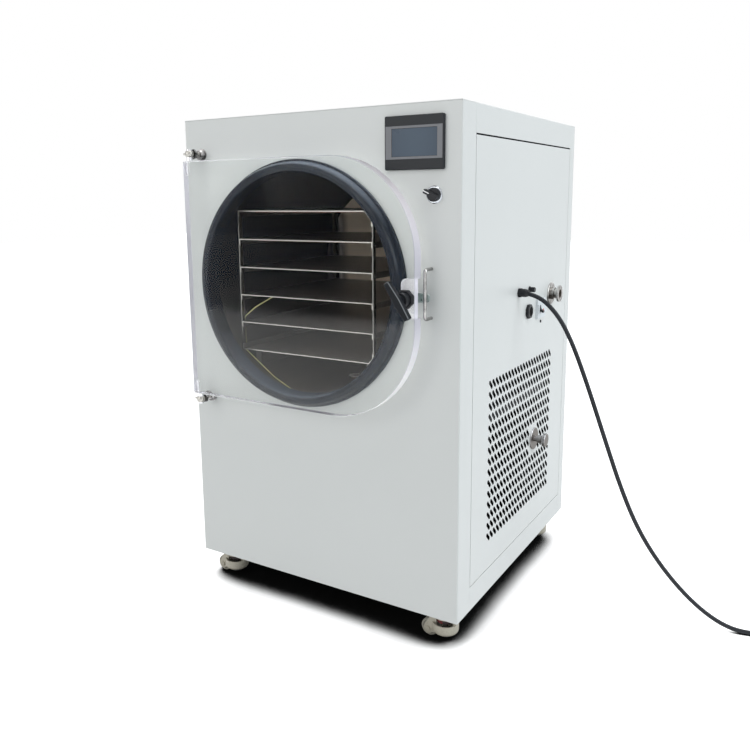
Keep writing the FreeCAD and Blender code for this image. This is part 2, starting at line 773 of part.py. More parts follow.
def hinge_pieces():
    """Rod ends on threaded studs with their lock screws, the nuts, and the pins that the door hangs on."""
    eyes, nuts, pins = [], [], []
    reach = 2 * eye_radius
    for side in (-1, 1):
        z = door_z + side * hinge_from_middle
        half = eye_height / 2
        zone = box(hinge_x - reach, hinge_x + reach, door_middle - reach, door_middle + reach,
                   z - half, z + half)
        ball = Part.makeSphere(eye_radius, V(hinge_x, door_middle, z)).common(zone)
        stud = rod("Y", hinge_x, door_middle, z, stud_radius, stud_inside - door_middle)
        screw = rod("X", hinge_x - lock_screw[1], door_middle, z, lock_screw[0], lock_screw[1])
        bore = rod("Z", hinge_x, door_middle, z - 20, pin_radius, 40)
        eyes.append(joined([ball, stud, screw]).cut(bore))
        nuts += hinge_nuts_at(z)
        tip = door_z + side * (door_half_height - pin_in_door + seat_gap)
        edge = door_z + side * (door_half_height + seat_gap)
        inner, outer = z - side * half, z + side * half
        a, b = sorted((tip, outer + side))
        shank = rod("Z", hinge_x, door_middle, a, pin_radius, b - a)
        a, b = sorted((edge, inner))
        collar = rod("Z", hinge_x, door_middle, a, pin_collar, b - a)
        a, b = sorted((outer, outer + side * pin_head[1]))
        head = rod("Z", hinge_x, door_middle, a, pin_head[0], b - a)
        pins.append(joined([shank, collar, head]))
    return group(eyes), group(nuts), group(pins)


# ---------------------------------------------------------------- door and latch
def door_panel():
    """Thick clear plate with a large radius at the free side and a milled pocket for the latch."""
    low, high = door_z - door_half_height, door_z + door_half_height
    plate = box(door_left, door_right, door_front, door_back, low, high)
    plate = plate.makeFillet(door_corner, edges_where(plate, lambda e: runs_along(e, "Y")
                                                      and e.CenterOfMass.x > door_right - 1))
    plate = plate.makeFillet(door_small_corner, edges_where(plate, lambda e: runs_along(e, "Y")
                                                            and e.CenterOfMass.x < door_left + 1))
    faces = (door_front, door_back)
    plate = plate.makeChamfer(door_chamfer, edges_where(plate, lambda e: min(abs(e.CenterOfMass.y - face)
                                                                             for face in faces) < 1e-6))
    z = base_z + latch_above_base
    pocket = rounded_box(door_right - pocket_width, door_right + 40, door_back - pocket_depth, door_back + 5,
                         z - pocket_height / 2, z + pocket_height / 2, pocket_radius, "Y")
    plate = plate.cut(pocket).cut(rod("Y", latch_x, door_front - 1, z, sleeve_radius + running_gap, 40))
    for side in (-1, 1):
        a, b = sorted(door_z + side * (door_half_height + end) for end in (-pin_in_door, 1))
        plate = plate.cut(rod("Z", hinge_x, door_middle, a, pin_radius + running_gap, b - a))
    return plate


def latch_collar():
    """Eight-sided flange and round hub on the door's front with a threaded sleeve, and its nut in the
    pocket."""
    z = base_z + latch_above_base
    floor = door_back - pocket_depth
    across, thick = pocket_nut
    flange = prism("Y", latch_x, door_front - collar_flange, z, 8, collar_across, collar_flange, 22.5)
    flange = flange.makeChamfer(2.0, edges_where(flange, lambda e: abs(e.CenterOfMass.y - door_front
                                                                       + collar_flange) < 1e-6))
    hub = rod("Y", latch_x, door_front - collar_depth, z, hub_radius, collar_depth)
    sleeve = rod("Y", latch_x, door_front - 1, z, sleeve_radius, floor + thick + 1 - door_front)
    bore = rod("Y", latch_x, door_front - 60, z, spindle_radius + running_gap, 120)
    nut = prism("Y", latch_x, floor, z, 6, across, thick, 0).cut(rod("Y", latch_x, -60, z, sleeve_radius, 60))
    return group([joined([flange, hub, sleeve]).cut(bore), nut])


def latch_handle():
    """Flat paddle with a boss and the spindle that carries the tongue."""
    z = base_z + latch_above_base
    half_l, half_w, k = paddle_length / 2, paddle_width / 2, paddle_taper
    outline = [V(latch_x + a * half_w, paddle_front, z + b * half_l)
               for a, b in ((-k, -1), (k, -1), (1, 0), (k, 1), (-k, 1), (-1, 0))]
    paddle = Part.Face(Part.makePolygon(outline + outline[:1])).extrude(V(0, paddle_depth, 0))
    paddle = paddle.makeFillet(2.0, edges_where(paddle, lambda e: runs_along(e, "Y")
                                                and abs(e.CenterOfMass.z - z) > half_l - 1))
    front_edges = edges_where(paddle, lambda e: abs(e.CenterOfMass.y - paddle_front) < 1e-6)
    paddle = paddle.makeChamfer(1.2, front_edges)
    paddle.rotate(V(latch_x, 0, z), V(0, 1, 0), paddle_tilt)
    start = paddle_back - 1
    boss = rod("Y", latch_x, start, z, boss_radius, door_front - collar_depth - seat_gap - start)
    spindle = rod("Y", latch_x, start, z, spindle_radius, tongue_back() - start)
    return joined([paddle, boss, spindle])


def tongue_front():
    return -door_gap + striker_radius + seat_gap


def tongue_back():
    return tongue_front() + tongue_depth


def latch_cam():
    """Steel tongue on the spindle's end that turns behind the striker bar."""
    z = base_z + latch_above_base
    end = latch_x + tongue_reach
    outline = [V(x, tongue_front(), z + up) for x, up in
               ((latch_x, -10), (end - 2, -7), (end, -5), (end, 5), (end - 2, 7), (latch_x, 10))]
    blade = Part.Face(Part.makePolygon(outline + outline[:1])).extrude(V(0, tongue_depth, 0))
    hub = rod("Y", latch_x, tongue_front(), z, tongue_hub, tongue_depth)
    neck = rod("Y", latch_x, door_back - 5, z, 7.5, tongue_front() - door_back + 5.5)
    return joined([blade, hub, neck]).cut(rod("Y", latch_x, -70, z, spindle_radius, 80))


# ---------------------------------------------------------------- right-side fittings
def clamp_port(place, radii, hub_span, reach):
    """Turned stainless port: a disc on the panel, a neck with a hub, a clamp flange, and a stub inside."""
    y, z = place
    hub, neck, flange, bore = radii
    disc, thick = port_disc
    stub = bore + port_wall
    profile = [(bore, -port_stub), (stub, -port_stub), (stub, 0), (disc, 0), (disc, thick - 0.8),
               (disc - 0.8, thick)]
    if hub_span[0] > thick:
        profile += [(neck, thick), (neck, hub_span[0])]
    rim = reach - port_rim
    profile += [(hub, hub_span[0]), (hub, hub_span[1]), (neck, hub_span[1]), (neck, rim - port_slope),
                (flange, rim), (flange, reach), (bore, reach)]
    return turned(profile, "X", half_width, y, base_z + z)


def drain_blank():
    """Blanking disc on the drain port's flange, with a spigot in the bore."""
    y, z = drain_port[0], base_z + drain_port[1]
    x = half_width + drain_reach
    disc = rod("X", x - blank_thickness, y, z, drain_radii[2], blank_thickness)
    disc = disc.makeChamfer(0.8, edges_where(disc, lambda e: abs(e.CenterOfMass.x - x) < 1e-6))
    return joined([disc, rod("X", x - blank_thickness - 3, y, z, drain_radii[3] - seat_gap, 4)])


def vacuum_pipe():
    """From the drum's back to the vacuum port's stub."""
    y, z = vacuum_port[0], base_z + vacuum_port[1]
    x = chamber_x + vacuum_hole_from_axis[0]
    zd = chamber_z + vacuum_hole_from_axis[1]
    start = drum_depth + drum_wall
    points = [V(x, start, zd), V(x, y, z), V(half_width - port_stub, y, z)]
    return pipe(points, vacuum_pipe_radius - 1, pipe_wall, vacuum_bend)


def drain_pipe():
    """From the chamber's drain hole down, back and out to the drain port's stub."""
    y, z = drain_port[0], base_z + drain_port[1]
    points = [V(chamber_x, drain_from_front, chamber_z - drum_outer - 0.5), V(chamber_x, drain_from_front, z),
              V(chamber_x, y, z), V(half_width - port_stub, y, z)]
    return pipe(points, drain_pipe_radius, pipe_wall, drain_bend)


def cable_gland():
    """Nylon gland: hexagon, ribbed dome nut, and the locknut inside the panel."""
    y, z = gland_place[0], base_z + gland_place[1]
    x = half_width
    r = gland_radius
    bore = cord_diameter / 2 + 0.2
    hexagon = prism("X", x, y, z, 6, 2 * r, 6, 0)
    dome = turned([(0, 5), (r - 0.4, 5), (r - 0.4, 15), (r - 1.6, 19.0), (bore + 1.4, gland_length),
                   (0, gland_length)], "X", x, y, z)
    thread = rod("X", x - 12, y, z, r - 1.2, 13)
    locknut = prism("X", x - sheet - 5, y, z, 6, 2 * r + 4, 5, 0)
    return joined([hexagon, dome, thread, locknut]).cut(rod("X", x - 20, y, z, bore, 80))


def fuse_holder():
    """Screw-cap fuse holder: a cap on a flange, and the barrel inside."""
    y, z = fuse_place[0], base_z + fuse_place[1]
    barrel, behind = fuse_barrel
    cap, proud = fuse_cap
    shape = turned([(0, -behind), (barrel, -behind), (barrel, 0), (7.0, 0), (7.0, 1.8), (cap, 2.4),
                    (cap, proud - 0.8), (cap - 0.8, proud), (0, proud)], "X", half_width, y, z)
    return shape.cut(box(half_width + proud - 1, half_width + proud + 1, y - 0.8, y + 0.8, z - 4, z + 4))


def pump_outlet():
    """Eight-sided outlet for the vacuum pump's lead, with a round recess and three contact slots."""
    y, z = outlet_place[0], base_z + outlet_place[1]
    x = half_width
    barrel, behind = outlet_barrel
    recess, deep = outlet_recess
    front, floor = x + outlet_proud, x + outlet_proud - deep
    plate = prism("X", x, y, z, 8, outlet_across, outlet_proud, 22.5)
    plate = plate.makeChamfer(1.5, edges_where(plate, lambda e: abs(e.CenterOfMass.x - front) < 1e-6))
    body = rod("X", x - behind, y, z, barrel, behind + 1)
    shape = joined([plate, body]).cut(rod("X", floor, y, z, recess, 2 * deep))
    for dy, dz in ((0.0, 3.4), (-4.0, -2.4), (4.0, -2.4)):
        shape = shape.cut(box(floor - 7, floor + 1, y + dy - 0.9, y + dy + 0.9, z + dz - 1.9, z + dz + 1.9))
    return shape


def lever_axis():
    y = breaker_place[0] - breaker_size[0] / 2 + lever_from_edge
    return half_width + breaker_proud - 1.0, y, base_z + breaker_place[1]


def breaker_body():
    """Breaker in its cut-out: a moulded body with a raised band and the lever's slot."""
    y, z = breaker_place[0], base_z + breaker_place[1]
    w, h = breaker_size[0] / 2, breaker_size[1] / 2
    x = half_width + breaker_proud
    body = box(half_width - breaker_behind, x, y - w, y + w, z - h, z + h)
    band = box(x - 1, x + breaker_step, y - w, y + w, z - h / 2, z + h / 2)
    lever_y = lever_axis()[1]
    slot_half = lever_width / 2 + 0.7
    slot = box(x - 8, x + 5, lever_y - slot_half, lever_y + slot_half, z - 7.5, z + 9)
    return joined([body, band]).cut(slot)


def breaker_lever():
    """Rocking lever, tipped down, turning on an axis inside the slot."""
    x, y, z = lever_axis()
    w = lever_width / 2
    drum = rod("Y", x, y - w, z, lever_drum, lever_width)
    paddle = box(x, x + lever_length, y - w, y + w, z - 2.2, z + 2.2)
    paddle.rotate(V(x, y, z), V(0, 1, 0), lever_angle)
    return joined([drum, paddle])


# ---------------------------------------------------------------- machinery inside
def compressor():
    """Hermetic compressor: a domed can with its weld flange, mounting feet and two stubs."""
    x, y = compressor_place
    z = base_z + pan_thickness
    r, h = compressor_radius, compressor_height
    seam_z = h / 2
    can = turned([(0, 12), (r - 22, 12), (r, 30), (r, seam_z), (r + 5, seam_z), (r + 5, seam_z + 4),
                  (r, seam_z + 4), (r, h - 40), (r - 12, h - 14), (r - 34, h), (0, h)], "Z", x, y, z)
    at, half = r - 20, compressor_foot / 2
    feet = [box(x + a * at - half, x + a * at + half, y + b * at - half, y + b * at + half, z, z + 14)
            for a in (-1, 1) for b in (-1, 1)]
    stubs = [rod("X", x + r - 12, y + dy, z + 120, 5, 40) for dy in (-20, 20)]
    return joined([can] + feet + stubs)


def condenser_back():
    return cabinet_depth - sheet - 6


def condenser():
    """Finned condenser block standing on the floor pan, just inside the rear slots."""
    w, y1 = condenser_half_width, condenser_back()
    front = y1 - condenser_thickness
    core = box(-w, w, front, y1, base_z + 18, base_z + condenser_top)
    frame = []
    for side in (-1, 1):
        x0, x1 = sorted((side * (w - 2), side * (w - 2 + condenser_frame)))
        frame.append(box(x0, x1, front - 6, y1 + 2, base_z + pan_thickness, base_z + condenser_top + 5))
    return joined([core] + frame)


def fan_place():
    """Y of the shroud's back face and height of the fan's axis."""
    return condenser_back() - condenser_thickness - seat_gap, base_z + fan_height


def fan_shroud():
    """Square shroud with a ring round the fan, three arms and the fan motor."""
    y, z = fan_place()
    outer, inner, long = fan_ring
    half = condenser_half_width - 5
    plate = box(-half, half, y - 3, y, base_z + 18, base_z + condenser_top - 3)
    ring = rod("Y", 0, y - long, z, outer, long)
    shape = joined([plate, ring]).cut(rod("Y", 0, y - 60, z, inner, 80))
    arm = inner + 1
    front, back = y - long, y - long + 4
    arms = [box(-arm, arm, front, back, z - 6, z + 6), box(-6, 6, front, back, z - arm, z + arm)]
    motor = rod("Y", 0, back - motor_size[1], z, motor_size[0], motor_size[1])
    shaft = rod("Y", 0, front + 1, z, fan_shaft, long - 6)
    return joined([shape] + arms + [motor, shaft])


def fan_rotor():
    """Hub and pitched blades."""
    y, z = fan_place()
    bore = fan_shaft + running_gap
    hub = turned([(bore, -38), (24, -38), (24, -14), (18, -8), (bore, -8)], "Y", 0, y, z)
    blades = []
    for i in range(fan_blades):
        blade = box(22, fan_blade_radius, y - 24.2, y - 21.8, z - 30, z + 30)
        blade.rotate(V(0, y - 23, z), V(1, 0, 0), fan_pitch)
        blade.rotate(V(0, 0, z), V(0, 1, 0), i * 360 / fan_blades)
        blades.append(blade)
    tip = fan_blade_radius + 1
    limit = turned([(18, -36), (tip, -36), (tip, -8), (18, -8)], "Y", 0, y, z)
    return joined([hub] + [b.common(limit) for b in blades])


def control_box():
    """Power and control enclosure on the rear panel."""
    wide, deep, tall = control_box_size
    y1 = cabinet_depth - sheet
    x1 = half_width - post - 15
    z1 = top_z - 60
    return rounded_box(x1 - wide, x1, y1 - deep, y1, z1 - tall, z1, 3, "Y")


# ---------------------------------------------------------------- casters
def caster_places():
    for name, sx, y in (("front_left", -1, caster_inset[1]), ("front_right", 1, caster_inset[1]),
                        ("rear_left", -1, cabinet_depth - caster_inset[1]),
                        ("rear_right", 1, cabinet_depth - caster_inset[1])):
        yield name, sx * (half_width - caster_inset[0]), y


cheek_gap = wheel_width / 2 + cheek_clearance
pin_low = caster_height - caster_plate[1] - swivel_pin[1]


def caster_plates():
    """Mounting plates with the swivel pins, bolted under the floor pan."""
    plates = []
    h = caster_plate[0] / 2
    for _, x, y in caster_places():
        plate = box(x - h, x + h, y - h, y + h, caster_height - caster_plate[1], caster_height)
        plates.append(joined([plate, rod("Z", x, y, pin_low, swivel_pin[0], swivel_pin[1] + 1)]))
    return group(plates)


def caster_skirt(x, y):
    """Round shell over the foot, drawn in at the bottom."""
    r, w, c, low = skirt_radius, skirt_wall, skirt_round, skirt_low
    cos45 = math.cos(math.radians(45))
    mouth = r - c - 2
    outer_arc = (r - c + c * cos45, low + c - c * cos45, "arc")
    inner_arc = (r - c + (c - w) * cos45, low + c - (c - w) * cos45, "arc")
    profile = [(mouth, low), (r - c, low), outer_arc, (r, low + c), (r, skirt_top), (r - w, skirt_top),
               (r - w, low + c), inner_arc, (r - c, low + w), (mouth, low + w)]
    return turned(profile, "Z", x, y, 0)


def caster_body(x, y):
    """Cast swivel body: head, two cheeks for the wheel, a skirt over the foot, and the axle."""
    head_radius, head_low = caster_head
    top = caster_height - caster_plate[1] - seat_gap
    head = rod("Z", x, y, head_low, head_radius, top - head_low)
    head = head.makeFillet(2.0, edges_where(head, lambda e: abs(e.CenterOfMass.z - head_low) < 1e-6))
    opening = box(x - 60, x - 10, y - cheek_gap, y + cheek_gap, 0, head_low - 1)
    rib = box(x + head_radius - 4, x + skirt_radius - 0.5, y - 7, y + 7, skirt_top - 4, head_low + 4)
    ax, az = x - caster_trail, wheel_radius
    cheeks = []
    for side in (-1, 1):
        y0, y1 = sorted((y + side * cheek_gap, y + side * (cheek_gap + cheek_thickness)))
        outline = [V(x - 14, y0, head_low + 5), V(x - 24, y0, head_low + 5),
                   V(ax - lobe_radius * 0.98, y0, az + 3), V(ax, y0, az - 8), V(x - 14, y0, az - 5)]
        cheek = Part.Face(Part.makePolygon(outline + outline[:1])).extrude(V(0, y1 - y0, 0))
        cheeks += [cheek, rod("Y", ax, y0, az, lobe_radius, y1 - y0)]
    half_axle = cheek_gap + cheek_thickness
    axle = rod("Y", ax, y - half_axle - 1.5, az, axle_radius, 2 * half_axle + 3)
    heads = [rod("Y", ax, y + a, az, axle_radius + 1.6, 2.5) for a in (-half_axle - 2.5, half_axle)]
    body = joined([head, caster_skirt(x, y).cut(opening), rib] + cheeks + [axle] + heads)
    body = body.cut(rod("Z", x, y, pin_low - 0.5, swivel_pin[0] + running_gap, 30))
    return body.cut(rod("Z", x, y, head_low - 5, stem_radius + running_gap, pin_low - 1.5 - head_low + 5))


def caster_wheel(x, y):
    """Nylon wheel with a rounded tread and a recessed web."""
    w, r, bore = wheel_width / 2, wheel_radius, axle_radius + running_gap
    profile = [(bore, -w), (6, -w), (6.5, -w + 2), (r - 5, -w + 2), (r - 4, -w), (r - 1.5, -w), (r, -w + 1.5),
               (r, w - 1.5), (r - 1.5, w), (r - 4, w), (r - 5, w - 2), (6.5, w - 2), (6, w), (bore, w)]
    return turned(profile, "Y", x - caster_trail, y, r)


def levelling_foot(x, y):
    """Screwed stem with its hand dial and rubber pad, drawn up clear of the floor."""
    low, r, dial, stem = foot_travel, foot_radius, dial_radius, stem_radius
    z0, z1 = dial_height
    top = pin_low - 2.5
    profile = [(0, low), (r - 1, low), (r, low + 1.5), (r - 1, low + 7), (stem, low + 9), (stem, z0),
               (dial - 1, z0), (dial, z0 + 1), (dial, z1 - 1), (dial - 1, z1), (stem, z1), (stem, top),
               (0, top)]
    return turned(profile, "Z", x, y, 0)


# ---------------------------------------------------------------- mains lead
floor_level = cord_diameter / 2 + seat_gap
cord_out = [(2, 292, 680), (38, 292, 680), (84, 296.5, 644), (116, 302.5, 588), (147, 308, 500),
            (184, 315, 390), (221, 323, 278), (258, 331, 188), (312, 341, 108), (375, 353, 42),
            (437, 364, floor_level + 1.5), (497, 377, floor_level), (543, 396, floor_level),
            (581, 402, floor_level)]      # beyond the cabinet's side, Y and height
cord_route = [V(half_width + out, y, z) for out, y, z in cord_out]


def cord_tube():
    """The lead from the gland to the coil: it hangs to the floor and lies on it."""
    radii = bend_radii(cord_route)
    print("lead bend radii", [round(r) for r in radii])
    tube = swept(cord_route, cord_diameter / 2, radii)
    path = route(cord_route, radii)
    section = math.pi * cord_diameter ** 2 / 4
    print("lead length", round(path.Length), "volume ratio", round(tube.Volume / section / path.Length, 4))
    return tube


def coil_centre():
    """The coil's outer turn starts where the tube ends, turning towards the front."""
    end = cord_route[-1]
    ahead = (cord_route[-1] - cord_route[-2]).normalize()
    sideways = V(ahead.y, -ahead.x, 0)
    return end + ahead * coil_lead_in + sideways * (coil_middle_radius + cord_diameter)


def tail_line():
    """Where the tail leaves the coil's top layer at its back, and where it meets the plug's relief."""
    c = coil_centre()
    y = c.y + coil_middle_radius + cord_diameter / 2
    return V(c.x, y, floor_level + 0.85 * cord_diameter), V(c.x + tail_length, y, relief_level)


def cord_coil():
    """Outer shape of the neat coil that holds the rest of the lead, with the ends that leave it."""
    c = coil_centre()
    inner = coil_middle_radius - 1.5 * cord_diameter
    outer = coil_middle_radius + 1.5 * cord_diameter + 0.5
    high = cord_diameter * 1.87
    ring = turned([(inner, 0), (outer, 0), (outer, cord_diameter), (outer - 4, high), (inner + 4, high),
                   (inner, cord_diameter)], "Z", c.x, c.y, 0)
    ahead = (cord_route[-1] - cord_route[-2]).normalize()
    lead_in = Part.makeCylinder(cord_diameter / 2, coil_lead_in, cord_route[-1], ahead)
    start, end = tail_line()
    tail = Part.makeCylinder(cord_diameter / 2, (end - start).Length, start, end - start)
    return joined([ring, lead_in, tail])


def mains_plug():
    """Moulded plug with its tapered strain relief and three flat blades, lying beside the coil."""
    at = tail_line()[1] + V(seat_gap, 0, 0)
    r = cord_diameter / 2
    relief = turned([(0, 0), (r + 1, 0), (r + 3.5, relief_length), (0, relief_length)], "X", at.x, at.y, at.z)
    length, wide, high = plug_body
    x, middle = at.x + relief_length - 2, high / 2
    body = rounded_box(x, x + length, at.y - wide / 2, at.y + wide / 2, 0, high, 5, "X")
    nose = x + length
    tip = nose + blade_length
    blades = [box(nose - 1, tip, at.y + dy - w, at.y + dy + w, middle + dz - h, middle + dz + h)
              for dy, dz, w, h in ((0.0, 6.5, 3.2, 0.8), (-7.0, -4.0, 0.8, 3.2), (7.0, -4.0, 0.8, 3.2))]
    return joined([relief, body] + blades)


# ---------------------------------------------------------------- all nodes
def all_nodes():
    eyes, nuts, pins = hinge_pieces()
    nodes = {
        "front_panel": front_panel(),
        "top_panel": top_panel(),
        "base_pan": base_pan(),
        "rear_panel": rear_panel(),
        "left_panel": side_panel(-1, lambda x: []),
        "right_panel": side_panel(1, right_cutouts),
        "inner_frame": inner_frame(),
        "chamber_drum": chamber_drum(),
        "cooling_jacket": cooling_jacket(),
        "drum_insulation": drum_insulation(),
        "door_gasket": door_gasket(),
        "rack_uprights": rack_uprights(),
        "top_shelf": shelf(1),
        "middle_shelves": group([shelf(n) for n in range(2, shelf_count)]),
        "bottom_shelf": shelf(shelf_count),
        "shelf_heaters": shelf_heaters(),
        "heater_harness": heater_harness(),
        "probe_lead": probe_lead(),
        "touch_panel": touch_panel(),
        "touch_screen": touch_screen(),
        "selector_bezel": selector_bezel(),
        "selector_knob": selector_knob(),
        "striker_bar": striker_bar(),
        "hinge_eyes": eyes,
        "hinge_nuts": nuts,
        "hinge_pins": pins,
        "door_panel": door_panel(),
        "latch_collar": latch_collar(),
        "latch_handle": latch_handle(),
        "latch_cam": latch_cam(),
        "vacuum_port": clamp_port(vacuum_port, vacuum_radii, vacuum_hub, vacuum_reach),
        "drain_port": group([clamp_port(drain_port, drain_radii, drain_hub,
                                        drain_reach - blank_thickness - seat_gap), drain_blank()]),
        "vacuum_pipe": vacuum_pipe(),
        "drain_pipe": drain_pipe(),
        "cable_gland": cable_gland(),
        "fuse_holder": fuse_holder(),
        "pump_outlet": pump_outlet(),
        "breaker_body": breaker_body(),
        "breaker_lever": breaker_lever(),
        "compressor": compressor(),
        "condenser": condenser(),
        "fan_shroud": fan_shroud(),
        "fan_rotor": fan_rotor(),
        "control_box": control_box(),
        "caster_plates": caster_plates(),
        "cord_tube": cord_tube(),
        "cord_coil": cord_coil(),
        "mains_plug": mains_plug(),
    }
    for name, x, y in caster_places():
        nodes["caster_body_" + name] = caster_body(x, y)
        nodes["caster_wheel_" + name] = caster_wheel(x, y)
        nodes["levelling_foot_" + name] = levelling_foot(x, y)
    return nodes


os.makedirs("parts", exist_ok=True)
whole = FreeCAD.BoundBox()
for node, shape in all_nodes().items():
    shape.translate(shift)
    if not node.startswith(("cord_", "mains_")):
        whole.add(shape.BoundBox)
    shape.exportStep("parts/" + node + ".step")
    print(node, len(shape.Solids), round(shape.Volume), shape.isValid())
print("size", round(whole.XLength, 1), round(whole.YLength, 1), round(whole.ZLength, 1), "middle",
      round(whole.Center.x, 2), round(whole.Center.y, 2), "low", round(whole.ZMin, 2))
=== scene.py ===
import math

import bmesh
import bpy
from mathutils import Matrix, Vector


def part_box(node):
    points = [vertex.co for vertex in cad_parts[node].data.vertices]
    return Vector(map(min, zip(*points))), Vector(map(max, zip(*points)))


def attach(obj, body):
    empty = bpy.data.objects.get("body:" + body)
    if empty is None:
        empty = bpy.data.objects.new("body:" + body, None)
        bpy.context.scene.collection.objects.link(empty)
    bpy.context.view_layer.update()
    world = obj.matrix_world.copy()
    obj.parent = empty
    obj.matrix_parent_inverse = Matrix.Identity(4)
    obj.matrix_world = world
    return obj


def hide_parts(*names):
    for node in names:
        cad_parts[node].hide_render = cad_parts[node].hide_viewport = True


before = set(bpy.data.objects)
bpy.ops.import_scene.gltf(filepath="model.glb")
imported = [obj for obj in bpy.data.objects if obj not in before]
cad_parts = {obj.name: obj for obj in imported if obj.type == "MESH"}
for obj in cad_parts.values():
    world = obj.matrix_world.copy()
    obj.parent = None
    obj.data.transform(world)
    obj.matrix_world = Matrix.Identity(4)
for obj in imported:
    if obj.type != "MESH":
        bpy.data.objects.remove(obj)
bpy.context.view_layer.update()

MM = 0.001
CORNERS = ("front_left", "front_right", "rear_left", "rear_right")
CABINET_LOW = Vector((-0.3405, -0.2815, 0.070))
CABINET_HIGH = Vector((0.3095, 0.3685, 1.045))
CHAMBER_AXIS = (-0.0405, 0.708)
END_WALL_FRONT = 0.12           # behind this, what faces forward in the chamber is its end wall
END_WALL_SEAM = -0.222          # where the end wall turns from painted shade, near black, to painted light, brown
GRILLE_SPAN = ((-0.150, 0.245), (0.175, 0.530))
GLOSS_LEVEL = 0.655             # below this the door's faces mirror the room, a painted reflection of the floor


# ---------------------------------------------------------------- shader arithmetic
class Signal:
    """A node's output, on which arithmetic adds Math nodes."""

    def __init__(self, graph, socket):
        self.graph = graph
        self.socket = socket

    def math(self, operation, *values):
        return self.graph.node("ShaderNodeMath", {"operation": operation}, dict(enumerate(values)))

    def __add__(self, other):
        return self.math("ADD", self, other)

    def __sub__(self, other):
        return self.math("SUBTRACT", self, other)

    def __rsub__(self, other):
        return self.math("SUBTRACT", other, self)

    def __mul__(self, other):
        return self.math("MULTIPLY", self, other)

    def __gt__(self, other):
        return self.math("GREATER_THAN", self, other)

    def __lt__(self, other):
        return self.math("LESS_THAN", self, other)

    __radd__ = __add__
    __rmul__ = __mul__

    def clamped(self):
        return self.math("MINIMUM", self.math("MAXIMUM", self, 0.0), 1.0)

    def either(self, other):
        return self.math("MAXIMUM", self, other)

    def wave(self):
        return self.math("SINE", self)

    def size(self):
        return self.math("ABSOLUTE", self)

    def root(self):
        return self.math("SQRT", self)


class Graph:
    """A node tree, with one method that adds any node."""

    def __init__(self, tree):
        self.tree = tree
        self.tree.nodes.clear()

    def node(self, kind, settings=None, inputs=None, output=0):
        node = self.tree.nodes.new(kind)
        for name, value in (settings or {}).items():
            if name == "stops":
                ramp = node.color_ramp.elements
                while len(ramp) < len(value):
                    ramp.new(1.0)
                for element, (place, color) in zip(ramp, value):
                    element.position = place
                    element.color = color
            else:
                setattr(node, name, value)
        for key, value in (inputs or {}).items():
            socket = self.socket(node.inputs, key)
            if isinstance(value, Signal):
                self.tree.links.new(value.socket, socket)
            else:
                socket.default_value = value
        if not node.outputs:
            return node
        return Signal(self, self.socket(node.outputs, output))

    @staticmethod
    def socket(sockets, key):
        if isinstance(key, int):
            return sockets[key]
        return next(s for s in sockets if key in (s.name, s.identifier) and s.enabled)

    def seen(self):
        """1 for the rays that meet the background: the eye's own, in metal, and through glass."""
        eye, metal, glass = (self.node("ShaderNodeLightPath", output="Is %s Ray" % kind)
                             for kind in ("Camera", "Glossy", "Transmission"))
        return eye.either(metal).either(glass)


class Finish(Graph):
    """A material and what its surfaces are described with."""

    def __init__(self, name):
        self.material = bpy.data.materials.new(name)
        self.material.use_nodes = True
        super().__init__(self.material.node_tree)

    def place(self, axis=None):
        """The point in the object's own space, or one of its coordinates, in metres."""
        point = self.node("ShaderNodeTexCoord", output="Object")
        if axis is None:
            return point
        return self.node("ShaderNodeSeparateXYZ", {}, {0: point}, axis)

    def outward(self, axis):
        """How far the surface faces along one of the object's own axes, from -1 to 1."""
        normal = self.node("ShaderNodeTexCoord", output="Normal")
        return self.node("ShaderNodeSeparateXYZ", {}, {0: normal}, axis)

    def from_middle(self, node):
        """Distance from the line along X through the middle of a node."""
        centre = middle(node)
        y, z = self.place("Y") - centre.y, self.place("Z") - centre.z
        return (y * y + z * z).root()

    def stretched(self, x, y, z):
        return self.node("ShaderNodeVectorMath", {"operation": "MULTIPLY"}, {0: self.place(), 1: (x, y, z)})

    def noise(self, scale, detail=3.0, vector=None):
        return self.node("ShaderNodeTexNoise", {}, {"Vector": vector or self.place(), "Scale": scale,
                                                    "Detail": detail}, "Fac")

    def mix(self, factor, a, b):
        return self.node("ShaderNodeMix", {"data_type": "RGBA"},
                         {"Factor_Float": factor, "A_Color": a, "B_Color": b}, "Result_Color")

    def bump(self, height, distance, strength=1.0):
        return self.node("ShaderNodeBump", {}, {"Height": height, "Distance": distance, "Strength": strength})

    def from_axis(self):
        """Distance from the chamber's axis."""
        x = self.place("X") - CHAMBER_AXIS[0]
        z = self.place("Z") - CHAMBER_AXIS[1]
        return (x * x + z * z).root()

    def principled(self, **sockets):
        """A Principled surface with the sockets named, underscores for spaces."""
        named = {name.replace("_", " "): value for name, value in sockets.items()}
        return self.node("ShaderNodeBsdfPrincipled", {}, named)

    def between(self, axis, low, high):
        """1 where one of the object's own coordinates lies between two values."""
        return (self.place(axis) - (low + high) / 2).size() < (high - low) / 2

    def finished(self, shader):
        self.node("ShaderNodeOutputMaterial", {}, {"Surface": shader})
        return self.material

    def surface(self, **sockets):
        return self.finished(self.principled(**sockets))


def grey(value):
    return (value, value, value, 1.0)


def middle(node):
    """The centre of a node's box."""
    low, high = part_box(node)
    return Vector([(l + h) / 2 for l, h in zip(low, high)])


